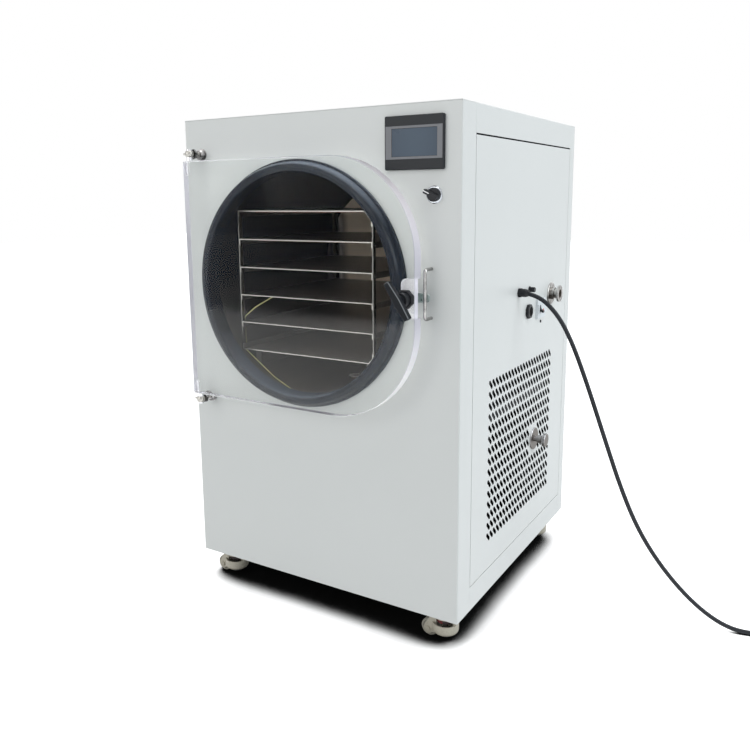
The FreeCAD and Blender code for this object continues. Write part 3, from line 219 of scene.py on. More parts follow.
# ---------------------------------------------------------------- finishes
def powder_coat():
    """Light grey cabinet paint with a fine orange peel, and painted shade, near black, on the inside faces
    and on the walls of the punched slots.
    """
    f = Finish("powder_coat")
    peel = f.noise(900.0, 2.0)
    broad = f.noise(2.2, 2.0)
    paint = f.mix(broad, (0.672, 0.690, 0.676, 1), (0.712, 0.724, 0.712, 1))
    skin = 1.2 * MM
    # painted shade: the faces inside the cabinet are made near black
    inside = 1.0
    for axis, low, high in zip("XYZ", CABINET_LOW, CABINET_HIGH):
        inside = inside * f.between(axis, low + skin, high - skin)
    # painted shade: the walls of the punched slots are made near black too
    punched = (f.outward("X").size() < 0.5) * (f.place("X") > CABINET_HIGH.x - 1.6 * MM)
    punched = punched * f.between("Y", *GRILLE_SPAN[0]) * f.between("Z", *GRILLE_SPAN[1])
    return f.surface(Base_Color=f.mix(inside.either(punched), paint, grey(0.012)),
                     Roughness=0.36 + 0.10 * f.noise(30.0), Normal=f.bump(peel, 0.00004, 0.5))


def brushed(name, color, dark, roughness, stretch):
    """Stainless steel brushed along the direction that is stretched least."""
    f = Finish(name)
    lines = f.noise(1.0, 4.0, f.stretched(*stretch))
    cloud = f.noise(9.0, 3.0)
    tone = f.mix(lines, dark, color)
    return f.surface(Base_Color=f.mix(cloud * 0.35, tone, dark), Metallic=1.0,
                     Roughness=roughness + 0.12 * lines, Normal=f.bump(lines, 0.00003, 0.6))


def shelf_steel():
    """Brushed shelves, lighter, browner and duller low down and to the right as painted light, blue-black
    higher up as painted shade, with bright sheared front edges.
    """
    f = Finish("shelf_steel")
    lines = f.noise(1.0, 4.0, f.stretched(6.0, 500.0, 500.0))
    cloud = f.noise(9.0, 3.0)
    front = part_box("top_shelf")[0][1]
    edge = f.place("Y") < front + 0.4 * MM
    # painted light: 0 higher up and to the left, 1 low down and to the right
    painted_light_low_right = (0.5 - (f.place("Z") - CHAMBER_AXIS[1]) * 3.4 + (f.place("X") - CHAMBER_AXIS[0]) * 1.4).clamped()
    tone = f.mix(painted_light_low_right, (0.090, 0.092, 0.104, 1), (0.300, 0.288, 0.262, 1))
    streaked = f.mix(cloud * 0.5, tone, f.mix(painted_light_low_right, (0.16, 0.16, 0.17, 1), (0.400, 0.380, 0.340, 1)))
    return f.surface(Base_Color=f.mix(edge, streaked, (0.46, 0.44, 0.41, 1)),
                     Metallic=(1.0 - 0.65 * painted_light_low_right).either(edge), Roughness=0.26 + 0.12 * lines,
                     Normal=f.bump(lines, 0.00003, 0.6))


def drum_steel():
    """The chamber's dark rolled steel with painted light: blue-black above, in painted shade, and browner and
    duller below, where it is painted lit. Its end wall is brown to the right of a bright seam and near black
    to its left, painted light and painted shade with a painted highlight on the seam, and it has a faint
    painted glow of its own, because few light paths reach it."""
    f = Finish("drum_steel")
    rings = f.noise(1.0, 2.0, f.stretched(2.0, 120.0, 2.0))
    cloud = f.noise(4.0, 3.0)
    # painted light: grows low down and to the right, as on the shelves
    painted_light_low_right = (0.42 - (f.place("Z") - CHAMBER_AXIS[1]) * 3.2 + (f.place("X") - CHAMBER_AXIS[0]) * 1.8).clamped()
    rear = (f.outward("Y").size() > 0.7) * (f.place("Y") > END_WALL_FRONT)
    past_seam = f.place("X") - END_WALL_SEAM
    # painted light on the end wall: brown right of the seam, painted shade near black left of it
    brown = (past_seam * 40).clamped()
    end_wall = f.mix(brown, (0.090, 0.082, 0.075, 1), (0.86, 0.73, 0.60, 1))
    # painted highlight: a bright line along the seam
    end_wall = f.mix((1 - past_seam.size() * 110).clamped() * 0.8, end_wall, (1.0, 0.93, 0.84, 1))
    tone = f.mix(painted_light_low_right, (0.002, 0.005, 0.013, 1), (0.200, 0.186, 0.165, 1))
    lustre = f.mix(cloud * 0.5, tone, f.mix(painted_light_low_right, (0.008, 0.012, 0.022, 1), (0.25, 0.235, 0.21, 1)))
    # painted glow on the end wall, brighter right of the seam
    painted_end_wall_glow = f.mix(rear, grey(0.0), f.mix(brown, (0.002, 0.002, 0.004, 1), (0.038, 0.032, 0.025, 1)))
    return f.surface(Base_Color=f.mix(rear, lustre, end_wall), Metallic=0.3 * painted_light_low_right * (1 - rear),
                     Roughness=0.26 + 0.10 * cloud, Specular_IOR_Level=0.0,
                     Emission_Color=painted_end_wall_glow, Emission_Strength=1.0, Normal=f.bump(rings, 0.00002, 0.3))


def polished_steel(name, color, dark=0.7):
    """Bright steel, handled and smeared, with painted light where it faces up and painted shade where it
    faces down, broken into random patches.
    """
    f = Finish(name)
    smear = f.noise(140.0, 3.0)
    patch = f.noise(75.0, 1.0)
    # the painted shade tone, also shown in random patches
    wear_and_painted_shade = tuple(c * dark for c in color[:3]) + (1.0,)
    # painted light where the steel faces up, painted shade where it faces down, with random patches
    light = (0.28 + 0.65 * f.outward("Z") + (patch - 0.5) * 1.8).clamped()
    return f.surface(Base_Color=f.mix(light, wear_and_painted_shade, color), Metallic=1.0, Roughness=0.12 + 0.16 * smear)


def port_steel():
    """Old turned ports: brown-grey discs with a painted dark reflection in patches on their faces, bright hub
    and rims as painted light where they face up, brown inside the bore.
    """
    f = Finish("port_steel")
    smear = f.noise(150.0, 3.0)
    patch = f.noise(60.0, 1.0)
    bore = f.from_middle("vacuum_port") < 10.6 * MM
    # painted light where the steel faces up, painted shade where it faces down
    light = (0.34 + 0.62 * f.outward("Z") + (patch - 0.5) * 1.8).clamped()
    tone = f.mix(light, (0.060, 0.054, 0.048, 1), (0.74, 0.73, 0.71, 1))
    # painted reflection: the disc faces are dark brown in patches, for the dark surroundings they mirror
    tone = f.mix((f.outward("X").size() > 0.8) * (1 - patch), tone, (0.050, 0.042, 0.036, 1))
    return f.surface(Base_Color=f.mix(bore, tone, (0.20, 0.17, 0.145, 1)), Metallic=1.0 - 0.6 * bore,
                     Roughness=0.12 + 0.16 * smear)


def drain_steel():
    """Brown discs, painted dark as a reflection of dark surroundings, on a brighter pipe with painted light
    where it faces up.
    """
    f = Finish("drain_steel")
    patch = f.noise(55.0, 2.0)
    disc = f.outward("X").size() > 0.8
    # brown disc faces painted dark, a painted reflection of dark surroundings
    brown_painted_dark_disc = f.mix(patch, (0.022, 0.015, 0.010, 1), (0.070, 0.056, 0.042, 1))
    # painted light where the pipe faces up, painted shade where it faces down
    light = (0.35 + 0.6 * f.outward("Z") + (patch - 0.5)).clamped()
    pipe = f.mix(light, (0.10, 0.088, 0.075, 1), (0.72, 0.72, 0.74, 1))
    return f.surface(Base_Color=f.mix(disc, pipe, brown_painted_dark_disc), Metallic=1.0, Roughness=0.24 + 0.16 * patch)


def threaded_steel():
    """Zinc-plated stud and eye: the stud's thread is cut in fine rings along Y behind the eye."""
    f = Finish("threaded_steel")
    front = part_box("hinge_eyes")[0][1]
    pitch = 1.25 * MM
    thread = (f.place("Y") * (2 * math.pi / pitch)).wave()
    on_stud = f.place("Y") > front + 19 * MM
    stain = f.noise(160.0)
    return f.surface(Base_Color=f.mix(stain, (0.26, 0.25, 0.23, 1), (0.58, 0.57, 0.54, 1)), Metallic=1.0,
                     Roughness=0.20 + 0.16 * stain, Normal=f.bump(thread * on_stud, 0.0004, 0.8))


def chrome():
    """Plated ring, slightly clouded."""
    f = Finish("chrome")
    tone = f.mix(f.noise(60.0), (0.36, 0.39, 0.43, 1), (0.56, 0.58, 0.61, 1))
    return f.surface(Base_Color=tone, Metallic=1.0, Roughness=0.08 + 0.05 * f.noise(200.0))


def rubber(name, color, roughness, grain=700.0):
    f = Finish(name)
    skin = f.noise(grain, 2.0)
    dust = f.noise(14.0, 4.0)
    lighter = tuple(c * 1.5 + 0.003 for c in color[:3]) + (1.0,)
    return f.surface(Base_Color=f.mix(dust, color, lighter), Roughness=roughness + 0.10 * dust,
                     Specular_IOR_Level=0.3, Normal=f.bump(skin, 0.00004, 0.5))


def seal_rubber():
    """Blue-black extruded rubber with fine ridges that run round the ring, and a painted blue-grey highlight
    where it faces up.
    """
    f = Finish("seal_rubber")
    pitch = 6.2 * MM
    ridges = (f.from_axis() * (2 * math.pi / pitch)).wave()
    dust = f.noise(7.0, 3.0)
    # painted highlight where the seal faces up, broken up by the dust noise
    painted_top_highlight = ((f.outward("Z") - 0.45) * 2.2 + (dust - 0.5) * 0.8).clamped()
    black = f.mix(dust, (0.004, 0.008, 0.017, 1), (0.012, 0.019, 0.033, 1))
    return f.surface(Base_Color=f.mix(painted_top_highlight, black, (0.17, 0.20, 0.25, 1)),
                     Roughness=0.15 + 0.10 * dust, Specular_IOR_Level=0.26,
                     Normal=f.bump(ridges, 0.0005, 0.7))


def moulded(name, color, roughness, grain=1400.0, specular=0.25):
    """Moulded plastic with a fine spark-eroded grain."""
    f = Finish(name)
    skin = f.noise(grain, 1.0)
    tone = f.noise(12.0, 2.0)
    lighter = tuple(min(1.0, c * 1.15 + 0.003) for c in color[:3]) + (1.0,)
    return f.surface(Base_Color=f.mix(tone, color, lighter), Roughness=roughness + 0.08 * tone,
                     Specular_IOR_Level=specular, Normal=f.bump(skin, 0.00003, 0.5))


def acrylic():
    """Clear cast acrylic: polished faces, glossier low down as a painted reflection of the floor, with
    frosted lilac and white where the edges and the latch's pocket are sawn. The sawn edges are tinted whiter
    as painted light where they face up and to the right, to the left and down, and the pin bores are white as
    a painted highlight.
    The sawn parts have a painted glow that stands for the light that the sheet carries to them, and lamps
    shine through the polished faces."""
    f = Finish("clear_acrylic")
    low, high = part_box("door_panel")
    latch = middle("latch_collar")
    across, through, upward = (f.outward(axis) for axis in "XYZ")
    edge = (through * through) < 0.6
    by_latch = (f.place("X") > high[0] - 34 * MM) * ((f.place("Z") - latch.z).size() < 37 * MM)
    milled = by_latch * f.between("Y", high[1] - 12.5 * MM, high[1] - 2 * MM)
    pin_bore = edge * f.between("X", low[0] + 2 * MM, low[0] + 13 * MM)
    pin_bore = pin_bore * f.between("Z", low[2] + MM, high[2] - MM)
    under = (0.0 - upward).clamped()
    # painted light: sawn edges that face up and to the right are tinted whiter
    painted_light_up_right = (across.clamped() * upward.clamped() * 2.0).clamped()
    saw = f.noise(1.0, 3.0, f.stretched(40.0, 900.0, 40.0))
    grit = ((f.noise(1100.0, 2.0) - 0.40) * 5.0).clamped()
    lilac = f.mix(saw, (0.72, 0.70, 0.80, 1), (0.84, 0.82, 0.92, 1))
    lilac = f.mix(painted_light_up_right, lilac, (0.97, 0.90, 0.96, 1))
    # painted light: sawn edges that face left are tinted whiter
    lilac = f.mix((0.0 - across).clamped(), lilac, (0.95, 0.94, 0.97, 1))
    # painted light on the edges that face down, and a painted highlight at the pin bores: both white
    sawn = f.mix(under.either(pin_bore), lilac, (1.0, 1.0, 1.0, 1))
    tint = f.mix(milled * (1 - edge), sawn, f.mix(grit, (0.60, 0.58, 0.66, 1), (1.0, 1.0, 1.0, 1)))
    # painted glow of the sawn parts, strongest where they face down and at the pin bores
    lit_below = (under * 1.8).clamped().either(pin_bore)
    painted_edge_glow = f.mix(lit_below, f.mix(1 - edge, grey(0.10), grey(0.16)), grey(0.42))
    frost = f.principled(Base_Color=tint, Roughness=0.6 + 0.2 * saw, IOR=1.12, Transmission_Weight=0.4,
                         Emission_Color=painted_edge_glow, Emission_Strength=1.0)
    clear, glossy = (f.principled(Base_Color=(0.905, 0.920, 0.918, 1), Roughness=edge * 0.06, IOR=1.49,
                                  Transmission_Weight=1.0, Specular_Tint=grey(tone)) for tone in (0.0, 0.33))
    # painted reflection: only the faces below GLOSS_LEVEL reflect, for the floor's reflection
    gloss = ((GLOSS_LEVEL - f.place("Z")) * 60.0 + 0.5).clamped() * (1 - edge)
    polished = f.node("ShaderNodeMixShader", {}, {0: gloss, 1: clear, 2: glossy})
    sawn_edge = edge * across.size().either(under).either(0.35) * 0.9
    cover = (sawn_edge * (1 - 0.6 * pin_bore)).either(milled * 0.85).either(pin_bore * 0.4)
    solid = f.node("ShaderNodeMixShader", {}, {0: cover, 1: polished, 2: frost})
    lamp = f.node("ShaderNodeLightPath", output="Is Shadow Ray")
    passing = f.node("ShaderNodeBsdfTransparent", {}, {"Color": grey(0.69)})
    return f.finished(f.node("ShaderNodeMixShader", {}, {0: lamp * (1 - 0.6 * cover), 1: solid, 2: passing}))


def outlet_moulding():
    """Black socket whose recess is grey with grain, a painted highlight."""
    f = Finish("outlet_moulding")
    grain = f.noise(900.0, 2.0)
    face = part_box("pump_outlet")[1][0]
    recess = (f.place("X") < face - 2 * MM) * (f.from_middle("pump_outlet") < 10.6 * MM)
    # painted highlight: the recess is grey rather than black
    painted_recess_highlight = f.mix(grain, grey(0.06), grey(0.13))
    return f.surface(Base_Color=f.mix(recess, (0.010, 0.011, 0.014, 1), painted_recess_highlight), Roughness=0.36 + 0.1 * grain,
                     Specular_IOR_Level=0.25, Normal=f.bump(grain, 0.00003, 0.5))


def display_glass():
    """The unlit display under its touch film: slate blue, with a painted sheen that is a little lighter
    towards the middle and varies in patches.
    """
    f = Finish("display_glass")
    low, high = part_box("touch_screen")
    across = (f.place("X") - (low[0] + high[0]) / 2) * (1 / (high[0] - low[0]))
    sheen = f.noise(26.0, 2.0)
    # painted sheen: lighter towards the middle, varying with the sheen noise
    tone = f.mix((0.75 - 1.6 * across * across) * (0.7 + 0.4 * sheen), (0.034, 0.054, 0.086, 1),
                 (0.064, 0.098, 0.138, 1))
    return f.surface(Base_Color=tone, Roughness=0.26 + 0.05 * sheen, Specular_IOR_Level=0.3)


def latch_bush():
    """Black hub in front, bright zinc nut behind, on one node."""
    f = Finish("latch_bush")
    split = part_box("door_panel")[1][1] - 13 * MM
    behind = f.place("Y") > split
    grain = f.noise(900.0, 2.0)
    tone = f.mix(behind, (0.012, 0.013, 0.016, 1), (0.42, 0.50, 0.48, 1))
    return f.surface(Base_Color=tone, Metallic=behind, Roughness=0.30 + 0.12 * grain, Specular_IOR_Level=0.25,
                     Normal=f.bump(grain, 0.00004, 0.5))


def latch_plastic():
    """Black paddle with a steel spindle behind it, and a painted highlight on the front chamfers that face
    up and to the right.
    """
    f = Finish("latch_plastic")
    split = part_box("latch_handle")[0][1] + 16 * MM
    behind = f.place("Y") > split
    grain = f.noise(1100.0, 2.0)
    wear_and_painted_shade = f.noise(40.0, 4.0)
    black = f.mix(wear_and_painted_shade, (0.010, 0.011, 0.014, 1), (0.020, 0.022, 0.026, 1))
    # painted highlight on the front chamfers that face up and to the right
    painted_chamfer_highlight = ((f.outward("Y") + 0.7).size() < 0.12) * (f.outward("X") + f.outward("Z") > 0.1)
    black = f.mix(painted_chamfer_highlight, black, (0.20, 0.21, 0.22, 1))
    return f.surface(Base_Color=f.mix(behind, black, grey(0.5)), Metallic=behind,
                     Roughness=0.34 + 0.10 * wear_and_painted_shade, Specular_IOR_Level=0.10,
                     Normal=f.bump(grain, 0.00004, 0.5))


def cam_steel():
    """The latch tongue: greenish zinc, with painted light on its upper edge."""
    f = Finish("cam_steel")
    stain = f.noise(120.0, 3.0)
    # painted light on the faces that face up
    upper = f.outward("Z").clamped()
    tone = f.mix(stain, (0.20, 0.27, 0.27, 1), (0.62, 0.70, 0.68, 1))
    return f.surface(Base_Color=f.mix(upper, tone, (0.85, 0.90, 0.88, 1)), Metallic=0.7,
                     Roughness=0.22 + 0.14 * stain)


def caster_cast():
    """Cream enamelled casting, slightly lumpy and greyer near the floor."""
    f = Finish("caster_cast")
    lump = f.noise(120.0, 3.0)
    speck = f.noise(420.0, 2.0)
    # greyer towards the floor, with random specks
    greyer_near_floor = ((1 - f.place("Z") * 20.0) * 0.8 + (speck - 0.5) * 1.4).clamped()
    return f.surface(Base_Color=f.mix(greyer_near_floor, (0.560, 0.525, 0.435, 1), (0.360, 0.330, 0.260, 1)),
                     Roughness=0.38 + 0.2 * lump, Normal=f.bump(lump, 0.0003, 0.5))


def levelling_foot():
    """Hand dial on a steel screw with a black rubber pad below. The dials are red: the two right hand dials
    are dark red on their inner half, and everything else on the dials is near black, painted shade."""
    f = Finish("levelling_foot")
    height = f.place("Z")
    stem = (height > 45 * MM) + (height < 36 * MM)
    centre = middle("levelling_foot_front_right")
    # where the red shows; the rest of each dial is painted shade
    painted = (f.place("X") < centre.x + MM) * (f.place("X") > 0.0)
    pad = height < 17 * MM
    grain = f.noise(300.0)
    red = f.mix(grain, (0.100, 0.008, 0.012, 1), (0.180, 0.016, 0.020, 1))
    # painted shade: near black over the red dial except its inner half on the right
    color = f.mix(stem, f.mix(painted, (0.020, 0.010, 0.010, 1), red), grey(0.20))
    return f.surface(Base_Color=f.mix(pad, color, grey(0.02)), Metallic=(stem - pad).clamped(),
                     Roughness=0.36 + 0.2 * grain)


def foam():
    """Black closed-cell rubber foam."""
    f = Finish("rubber_foam")
    cells = f.node("ShaderNodeTexVoronoi", {}, {"Vector": f.place(), "Scale": 420.0}, "Distance")
    return f.surface(Base_Color=f.mix(cells, grey(0.008), grey(0.020)), Roughness=0.8 + 0.1 * cells,
                     Specular_IOR_Level=0.1, Normal=f.bump(cells, 0.0008, 0.5))


def finned(name, pitch):
    """Aluminium fins at an even pitch along X, with painted shade between them."""
    f = Finish(name)
    # painted shade: dark between the fins, light on them
    gap = ((f.place("X") * (2 * math.pi / pitch)).wave() * 0.5 + 0.5).clamped()
    return f.surface(Base_Color=f.mix(gap, grey(0.05), grey(0.55)), Metallic=0.9, Roughness=0.35 + 0.2 * gap,
                     Normal=f.bump(gap, 0.001, 0.7))


def striped_wire():
    """Earth-coloured probe wire: yellow with a green lay."""
    f = Finish("striped_wire")
    lay = f.noise(160.0, 1.0)
    low_down = (0.5 - (f.place("Z") - CHAMBER_AXIS[1]) * 9.0).clamped()
    yellow = f.mix(low_down, (0.62, 0.62, 0.42, 1), (1.0, 0.93, 0.44, 1))
    return f.surface(Base_Color=f.mix(((lay - 0.46) * 6.0).clamped(), yellow, (0.72, 0.78, 0.30, 1)),
                     Roughness=0.38 + 0.1 * lay)


FINISHES = {
    powder_coat(): "front_panel top_panel base_pan rear_panel left_panel right_panel",
    drum_steel(): "chamber_drum",
    shelf_steel(): "top_shelf middle_shelves bottom_shelf",
    brushed("upright_steel", (0.34, 0.33, 0.31, 1), (0.16, 0.155, 0.15, 1), 0.22, (600.0, 600.0, 8.0)):
        "rack_uprights",
    brushed("pipe_steel", grey(0.52), grey(0.36), 0.28, (8.0, 300.0, 300.0)): "vacuum_pipe drain_pipe",
    port_steel(): "vacuum_port",
    drain_steel(): "drain_port",
    polished_steel("bar_steel", (0.56, 0.55, 0.54, 1), 0.5): "striker_bar",
    polished_steel("nut_steel", (0.68, 0.665, 0.665, 1), 0.16): "hinge_nuts caster_plates",
    polished_steel("pin_steel", (0.90, 0.90, 0.93, 1), 0.7): "hinge_pins",
    cam_steel(): "latch_cam",
    threaded_steel(): "hinge_eyes",
    chrome(): "selector_bezel",
    seal_rubber(): "door_gasket",
    rubber("lead_rubber", (0.008, 0.009, 0.012, 1), 0.36, 1200.0): "mains_plug",
    rubber("heater_rubber", (0.16, 0.045, 0.025, 1), 0.6): "shelf_heaters",
    moulded("black_moulding", (0.009, 0.010, 0.013, 1), 0.34):
        "selector_knob cable_gland fuse_holder breaker_lever",
    outlet_moulding(): "pump_outlet",
    moulded("panel_moulding", (0.016, 0.018, 0.021, 1), 0.42): "touch_panel",
    moulded("white_moulding", (0.66, 0.69, 0.71, 1), 0.45, specular=0.4): "breaker_body",
    moulded("harness_sleeve", (0.040, 0.040, 0.046, 1), 0.55, 300.0): "heater_harness",
    moulded("wheel_nylon", (0.36, 0.34, 0.29, 1), 0.40): " ".join("caster_wheel_" + c for c in CORNERS),
    moulded("black_enamel", (0.012, 0.012, 0.014, 1), 0.30, 500.0):
        "compressor control_box fan_rotor fan_shroud",
    moulded("frame_paint", (0.05, 0.05, 0.055, 1), 0.45, 500.0): "inner_frame",
    striped_wire(): "probe_lead",
    acrylic(): "door_panel",
    display_glass(): "touch_screen",
    latch_bush(): "latch_collar",
    latch_plastic(): "latch_handle",
    caster_cast(): " ".join("caster_body_" + c for c in CORNERS),
    levelling_foot(): " ".join("levelling_foot_" + c for c in CORNERS),
    foam(): "drum_insulation",
    finned("condenser_fins", 0.0021): "condenser",
    brushed("jacket_copper", (0.62, 0.34, 0.22, 1), (0.45, 0.24, 0.16, 1), 0.3, (4.0, 300.0, 4.0)):
        "cooling_jacket",
}
FINISH_OF = {node: material for material, nodes in FINISHES.items() for node in nodes.split()}

for node, material in FINISH_OF.items():
    mesh_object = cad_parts[node]
    for slot in mesh_object.material_slots:
        slot.material = material


# ---------------------------------------------------------------- mesh helpers
def piece(name, mesh, material, body="cabinet", smooth=False):
    """A new piece made from a mesh in the row frame, riding on a body."""
    thing = bpy.data.objects.new(name, mesh)
    bpy.context.scene.collection.objects.link(thing)
    mesh.materials.append(material)
    mesh.polygons.foreach_set("use_smooth", [smooth] * len(mesh.polygons))
    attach(thing, body)
    return thing


def mesh_of(name, build):
    """A mesh filled in by a function that takes the bmesh."""
    bm = bmesh.new()
    build(bm)
    bmesh.ops.recalc_face_normals(bm, faces=bm.faces)
    mesh = bpy.data.meshes.new(name)
    bm.to_mesh(mesh)
    bm.free()
    return mesh


def add_block(bm, low, high):
    """A box between two corners."""
    size = [h - l for l, h in zip(low, high)]
    centre = [(l + h) / 2 for l, h in zip(low, high)]
    bmesh.ops.create_cube(bm, size=1.0, matrix=Matrix.Translation(centre) @ Matrix.Diagonal((*size, 1.0)))


def add_turned(bm, profile, place, steps=32):
    """A closed turned shape: profile of (radius, height) in metres, set by a matrix with Z as its axis."""
    rings = []
    for i in range(steps):
        a = 2 * math.pi * i / steps
        rings.append([bm.verts.new(place @ Vector((r * math.cos(a), r * math.sin(a), z))) if r > 0 else None
                      for r, z in profile])
    tips = {k: bm.verts.new(place @ Vector((0, 0, z))) for k, (r, z) in enumerate(profile) if r <= 0}
    for i in range(steps):
        now, after = rings[i], rings[(i + 1) % steps]
        for k in range(len(profile) - 1):
            corners = [ring[n] or tips[n] for ring, n in ((now, k), (after, k), (after, k + 1), (now, k + 1))]
            unique = list(dict.fromkeys(corners))
            if len(unique) > 2:
                bm.faces.new(unique)


def facing(point, axis):
    """A matrix that stands a turned shape at a point with its axis along a direction."""
    return Matrix.Translation(point) @ Vector(axis).to_track_quat("Z", "Y").to_matrix().to_4x4()


def pan_head(radius, height):
    """Half-section of a pan-head screw with a dimple for its driver."""
    return [(0.0, height * 0.55), (radius * 0.35, height * 0.6), (radius * 0.42, height),
            (radius * 0.78, height * 0.93), (radius * 0.96, height * 0.62), (radius, 0.0), (0.0, 0.0)]


# ---------------------------------------------------------------- camera
def camera():
    """The eye's place and direction, its lens and how far its view is shifted."""
    data = bpy.data.cameras.new("camera")
    data.lens = 36.66
    data.sensor_width = 36.0
    data.shift_x = 0.0101
    data.shift_y = -0.0587
    thing = bpy.data.objects.new("camera", data)
    thing.location = (0.8712, -1.5180, 0.8796)
    thing.rotation_euler = [math.radians(a) for a in (80.108, 0.517, 31.406)]
    bpy.context.scene.collection.objects.link(thing)
    bpy.context.scene.camera = thing


camera()


# ---------------------------------------------------------------- mains lead
CORD_DIAMETER = 0.009
CORD_LEVEL = 0.0048
CORD_ROUTE = [(0.3115, 0.0105, 0.680), (0.3460, 0.0105, 0.680), (0.3890, 0.015, 0.644),
              (0.4205, 0.021, 0.588), (0.4545, 0.0265, 0.500), (0.4922, 0.0335, 0.390),
              (0.5308, 0.0415, 0.278), (0.5700, 0.0495, 0.188), (0.6240, 0.0595, 0.108),
              (0.6880, 0.0715, 0.042), (0.7490, 0.0825, 0.0063), (0.8065, 0.0955, CORD_LEVEL),
              (0.8525, 0.1145, CORD_LEVEL), (0.8905, 0.1205, CORD_LEVEL)]
COIL_LEAD_IN = 0.045
COIL_MIDDLE_RADIUS = 0.052
COIL_TURNS = 5
RELIEF_LEVEL = 0.008


def eased(share):
    """0 to 1 with level ends."""
    share = min(1.0, max(0.0, share))
    return share * share * (3 - 2 * share)


def coil_points():
    """Turns of the put-away coil: two and a half side by side on the floor, winding in, then the rest on
    top of them, winding out."""
    end, before = Vector(CORD_ROUTE[-1]), Vector(CORD_ROUTE[-2])
    ahead = (end - before).normalized()
    sideways = Vector((ahead.y, -ahead.x, 0))
    outer = COIL_MIDDLE_RADIUS + CORD_DIAMETER
    centre = end + ahead * COIL_LEAD_IN + sideways * outer
    centre.z = 0
    start = math.atan2(-sideways.y, -sideways.x)
    upper = CORD_LEVEL + CORD_DIAMETER * 0.87
    per_turn = 16       # points
    total = round(per_turn * (COIL_TURNS + (start - math.pi / 2) / (2 * math.pi)))
    points = []
    for i in range(total + 1):
        done = i / per_turn
        angle = start - 2 * math.pi * done
        inward = CORD_DIAMETER * 2.0 * eased(done / 2.5)
        outward = CORD_DIAMETER * 1.5 * eased((done - 2.5) / (total / per_turn - 2.5))
        level = CORD_LEVEL + (upper - CORD_LEVEL) * eased((done - 2.2) / 0.8)
        radius = outer - inward + outward
        points.append(centre + Vector((radius * math.cos(angle), radius * math.sin(angle), level)))
    return points


def mains_lead():
    """The lead from its gland down to the floor, round its coil and into the plug."""
    turns = coil_points()
    last = turns[-1]
    relief = Vector((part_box("mains_plug")[0][0], middle("mains_plug").y, RELIEF_LEVEL))
    hump = CORD_LEVEL + CORD_DIAMETER * 1.05
    falling = ((0.22, hump), (0.42, hump - 0.7 * MM), (0.62, 11.4 * MM), (0.82, RELIEF_LEVEL + MM))
    ahead, aside = relief.x - last.x, relief.y - last.y
    tail = [Vector((last.x + ahead * share, last.y + aside * eased(share), height))
            for share, height in falling]
    points = [Vector(p) for p in CORD_ROUTE] + turns + tail + [relief]
    curve = bpy.data.curves.new("mains_lead", "CURVE")
    curve.dimensions = "3D"
    curve.bevel_depth = CORD_DIAMETER / 2
    curve.bevel_resolution = 5
    curve.use_fill_caps = True
    spline = curve.splines.new("NURBS")
    spline.points.add(len(points) - 1)
    for point, place in zip(spline.points, points):
        point.co = (*place, 1.0)
    spline.order_u = 3
    spline.use_endpoint_u = True
    spline.resolution_u = 6
    lead = bpy.data.objects.new("mains_lead", curve)
    bpy.context.scene.collection.objects.link(lead)
    curve.materials.append(rubber("lead_sheath", (0.008, 0.010, 0.014, 1), 0.30, 1500.0))
    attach(lead, "cabinet")
    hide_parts("cord_tube", "cord_coil")


mains_lead()


# ---------------------------------------------------------------- right side panel with its grille
GRILLE_ROWS, GRILLE_COLUMNS = 15, 22
GRILLE_PITCH = (0.01725, 0.02295)
GRILLE_START = (-0.1345, 0.1909)
SLOT_LENGTH, SLOT_WIDTH = 0.0236, 0.0084        # the CAD's are 18.2 by 6 mm with square ends
GRILLE_KEEPOUT = 0.034
PANEL_SHEET = 0.0015
PORT_HOLES = (("vacuum_port", 13.3), ("drain_port", 7.3), ("cable_gland", 8.3), ("fuse_holder", 5.1),
              ("pump_outlet", 12.0))        # radius in millimetres
BREAKER_GAP = 0.3 * MM


def closed_spline(curve, points):
    """One closed outline in a flat curve; inside another one it is a hole."""
    spline = curve.splines.new("POLY")
    spline.points.add(len(points) - 1)
    for point, (u, v) in zip(spline.points, points):
        point.co = (u, v, 0.0, 1.0)
    spline.use_cyclic_u = True


def ring_points(u, v, radius, steps=32):
    """A round hole's outline."""
    return [(u + radius * math.cos(2 * math.pi * i / steps), v + radius * math.sin(2 * math.pi * i / steps))
            for i in range(steps)]


def slot_points(u, v, steps=6):
    """A round-ended slot that leans 45 degrees, its upper end to the front."""
    half, radius = (SLOT_LENGTH - SLOT_WIDTH) / 2, SLOT_WIDTH / 2
    lean = math.radians(-45)
    points = []
    for end in (0, 1):
        for i in range(steps + 1):
            a = -math.pi / 2 + math.pi * i / steps + end * math.pi
            x, y = (1 - 2 * end) * half + radius * math.cos(a), radius * math.sin(a)
            points.append((u + x * math.cos(lean) - y * math.sin(lean),
                           v + x * math.sin(lean) + y * math.cos(lean)))
    return points


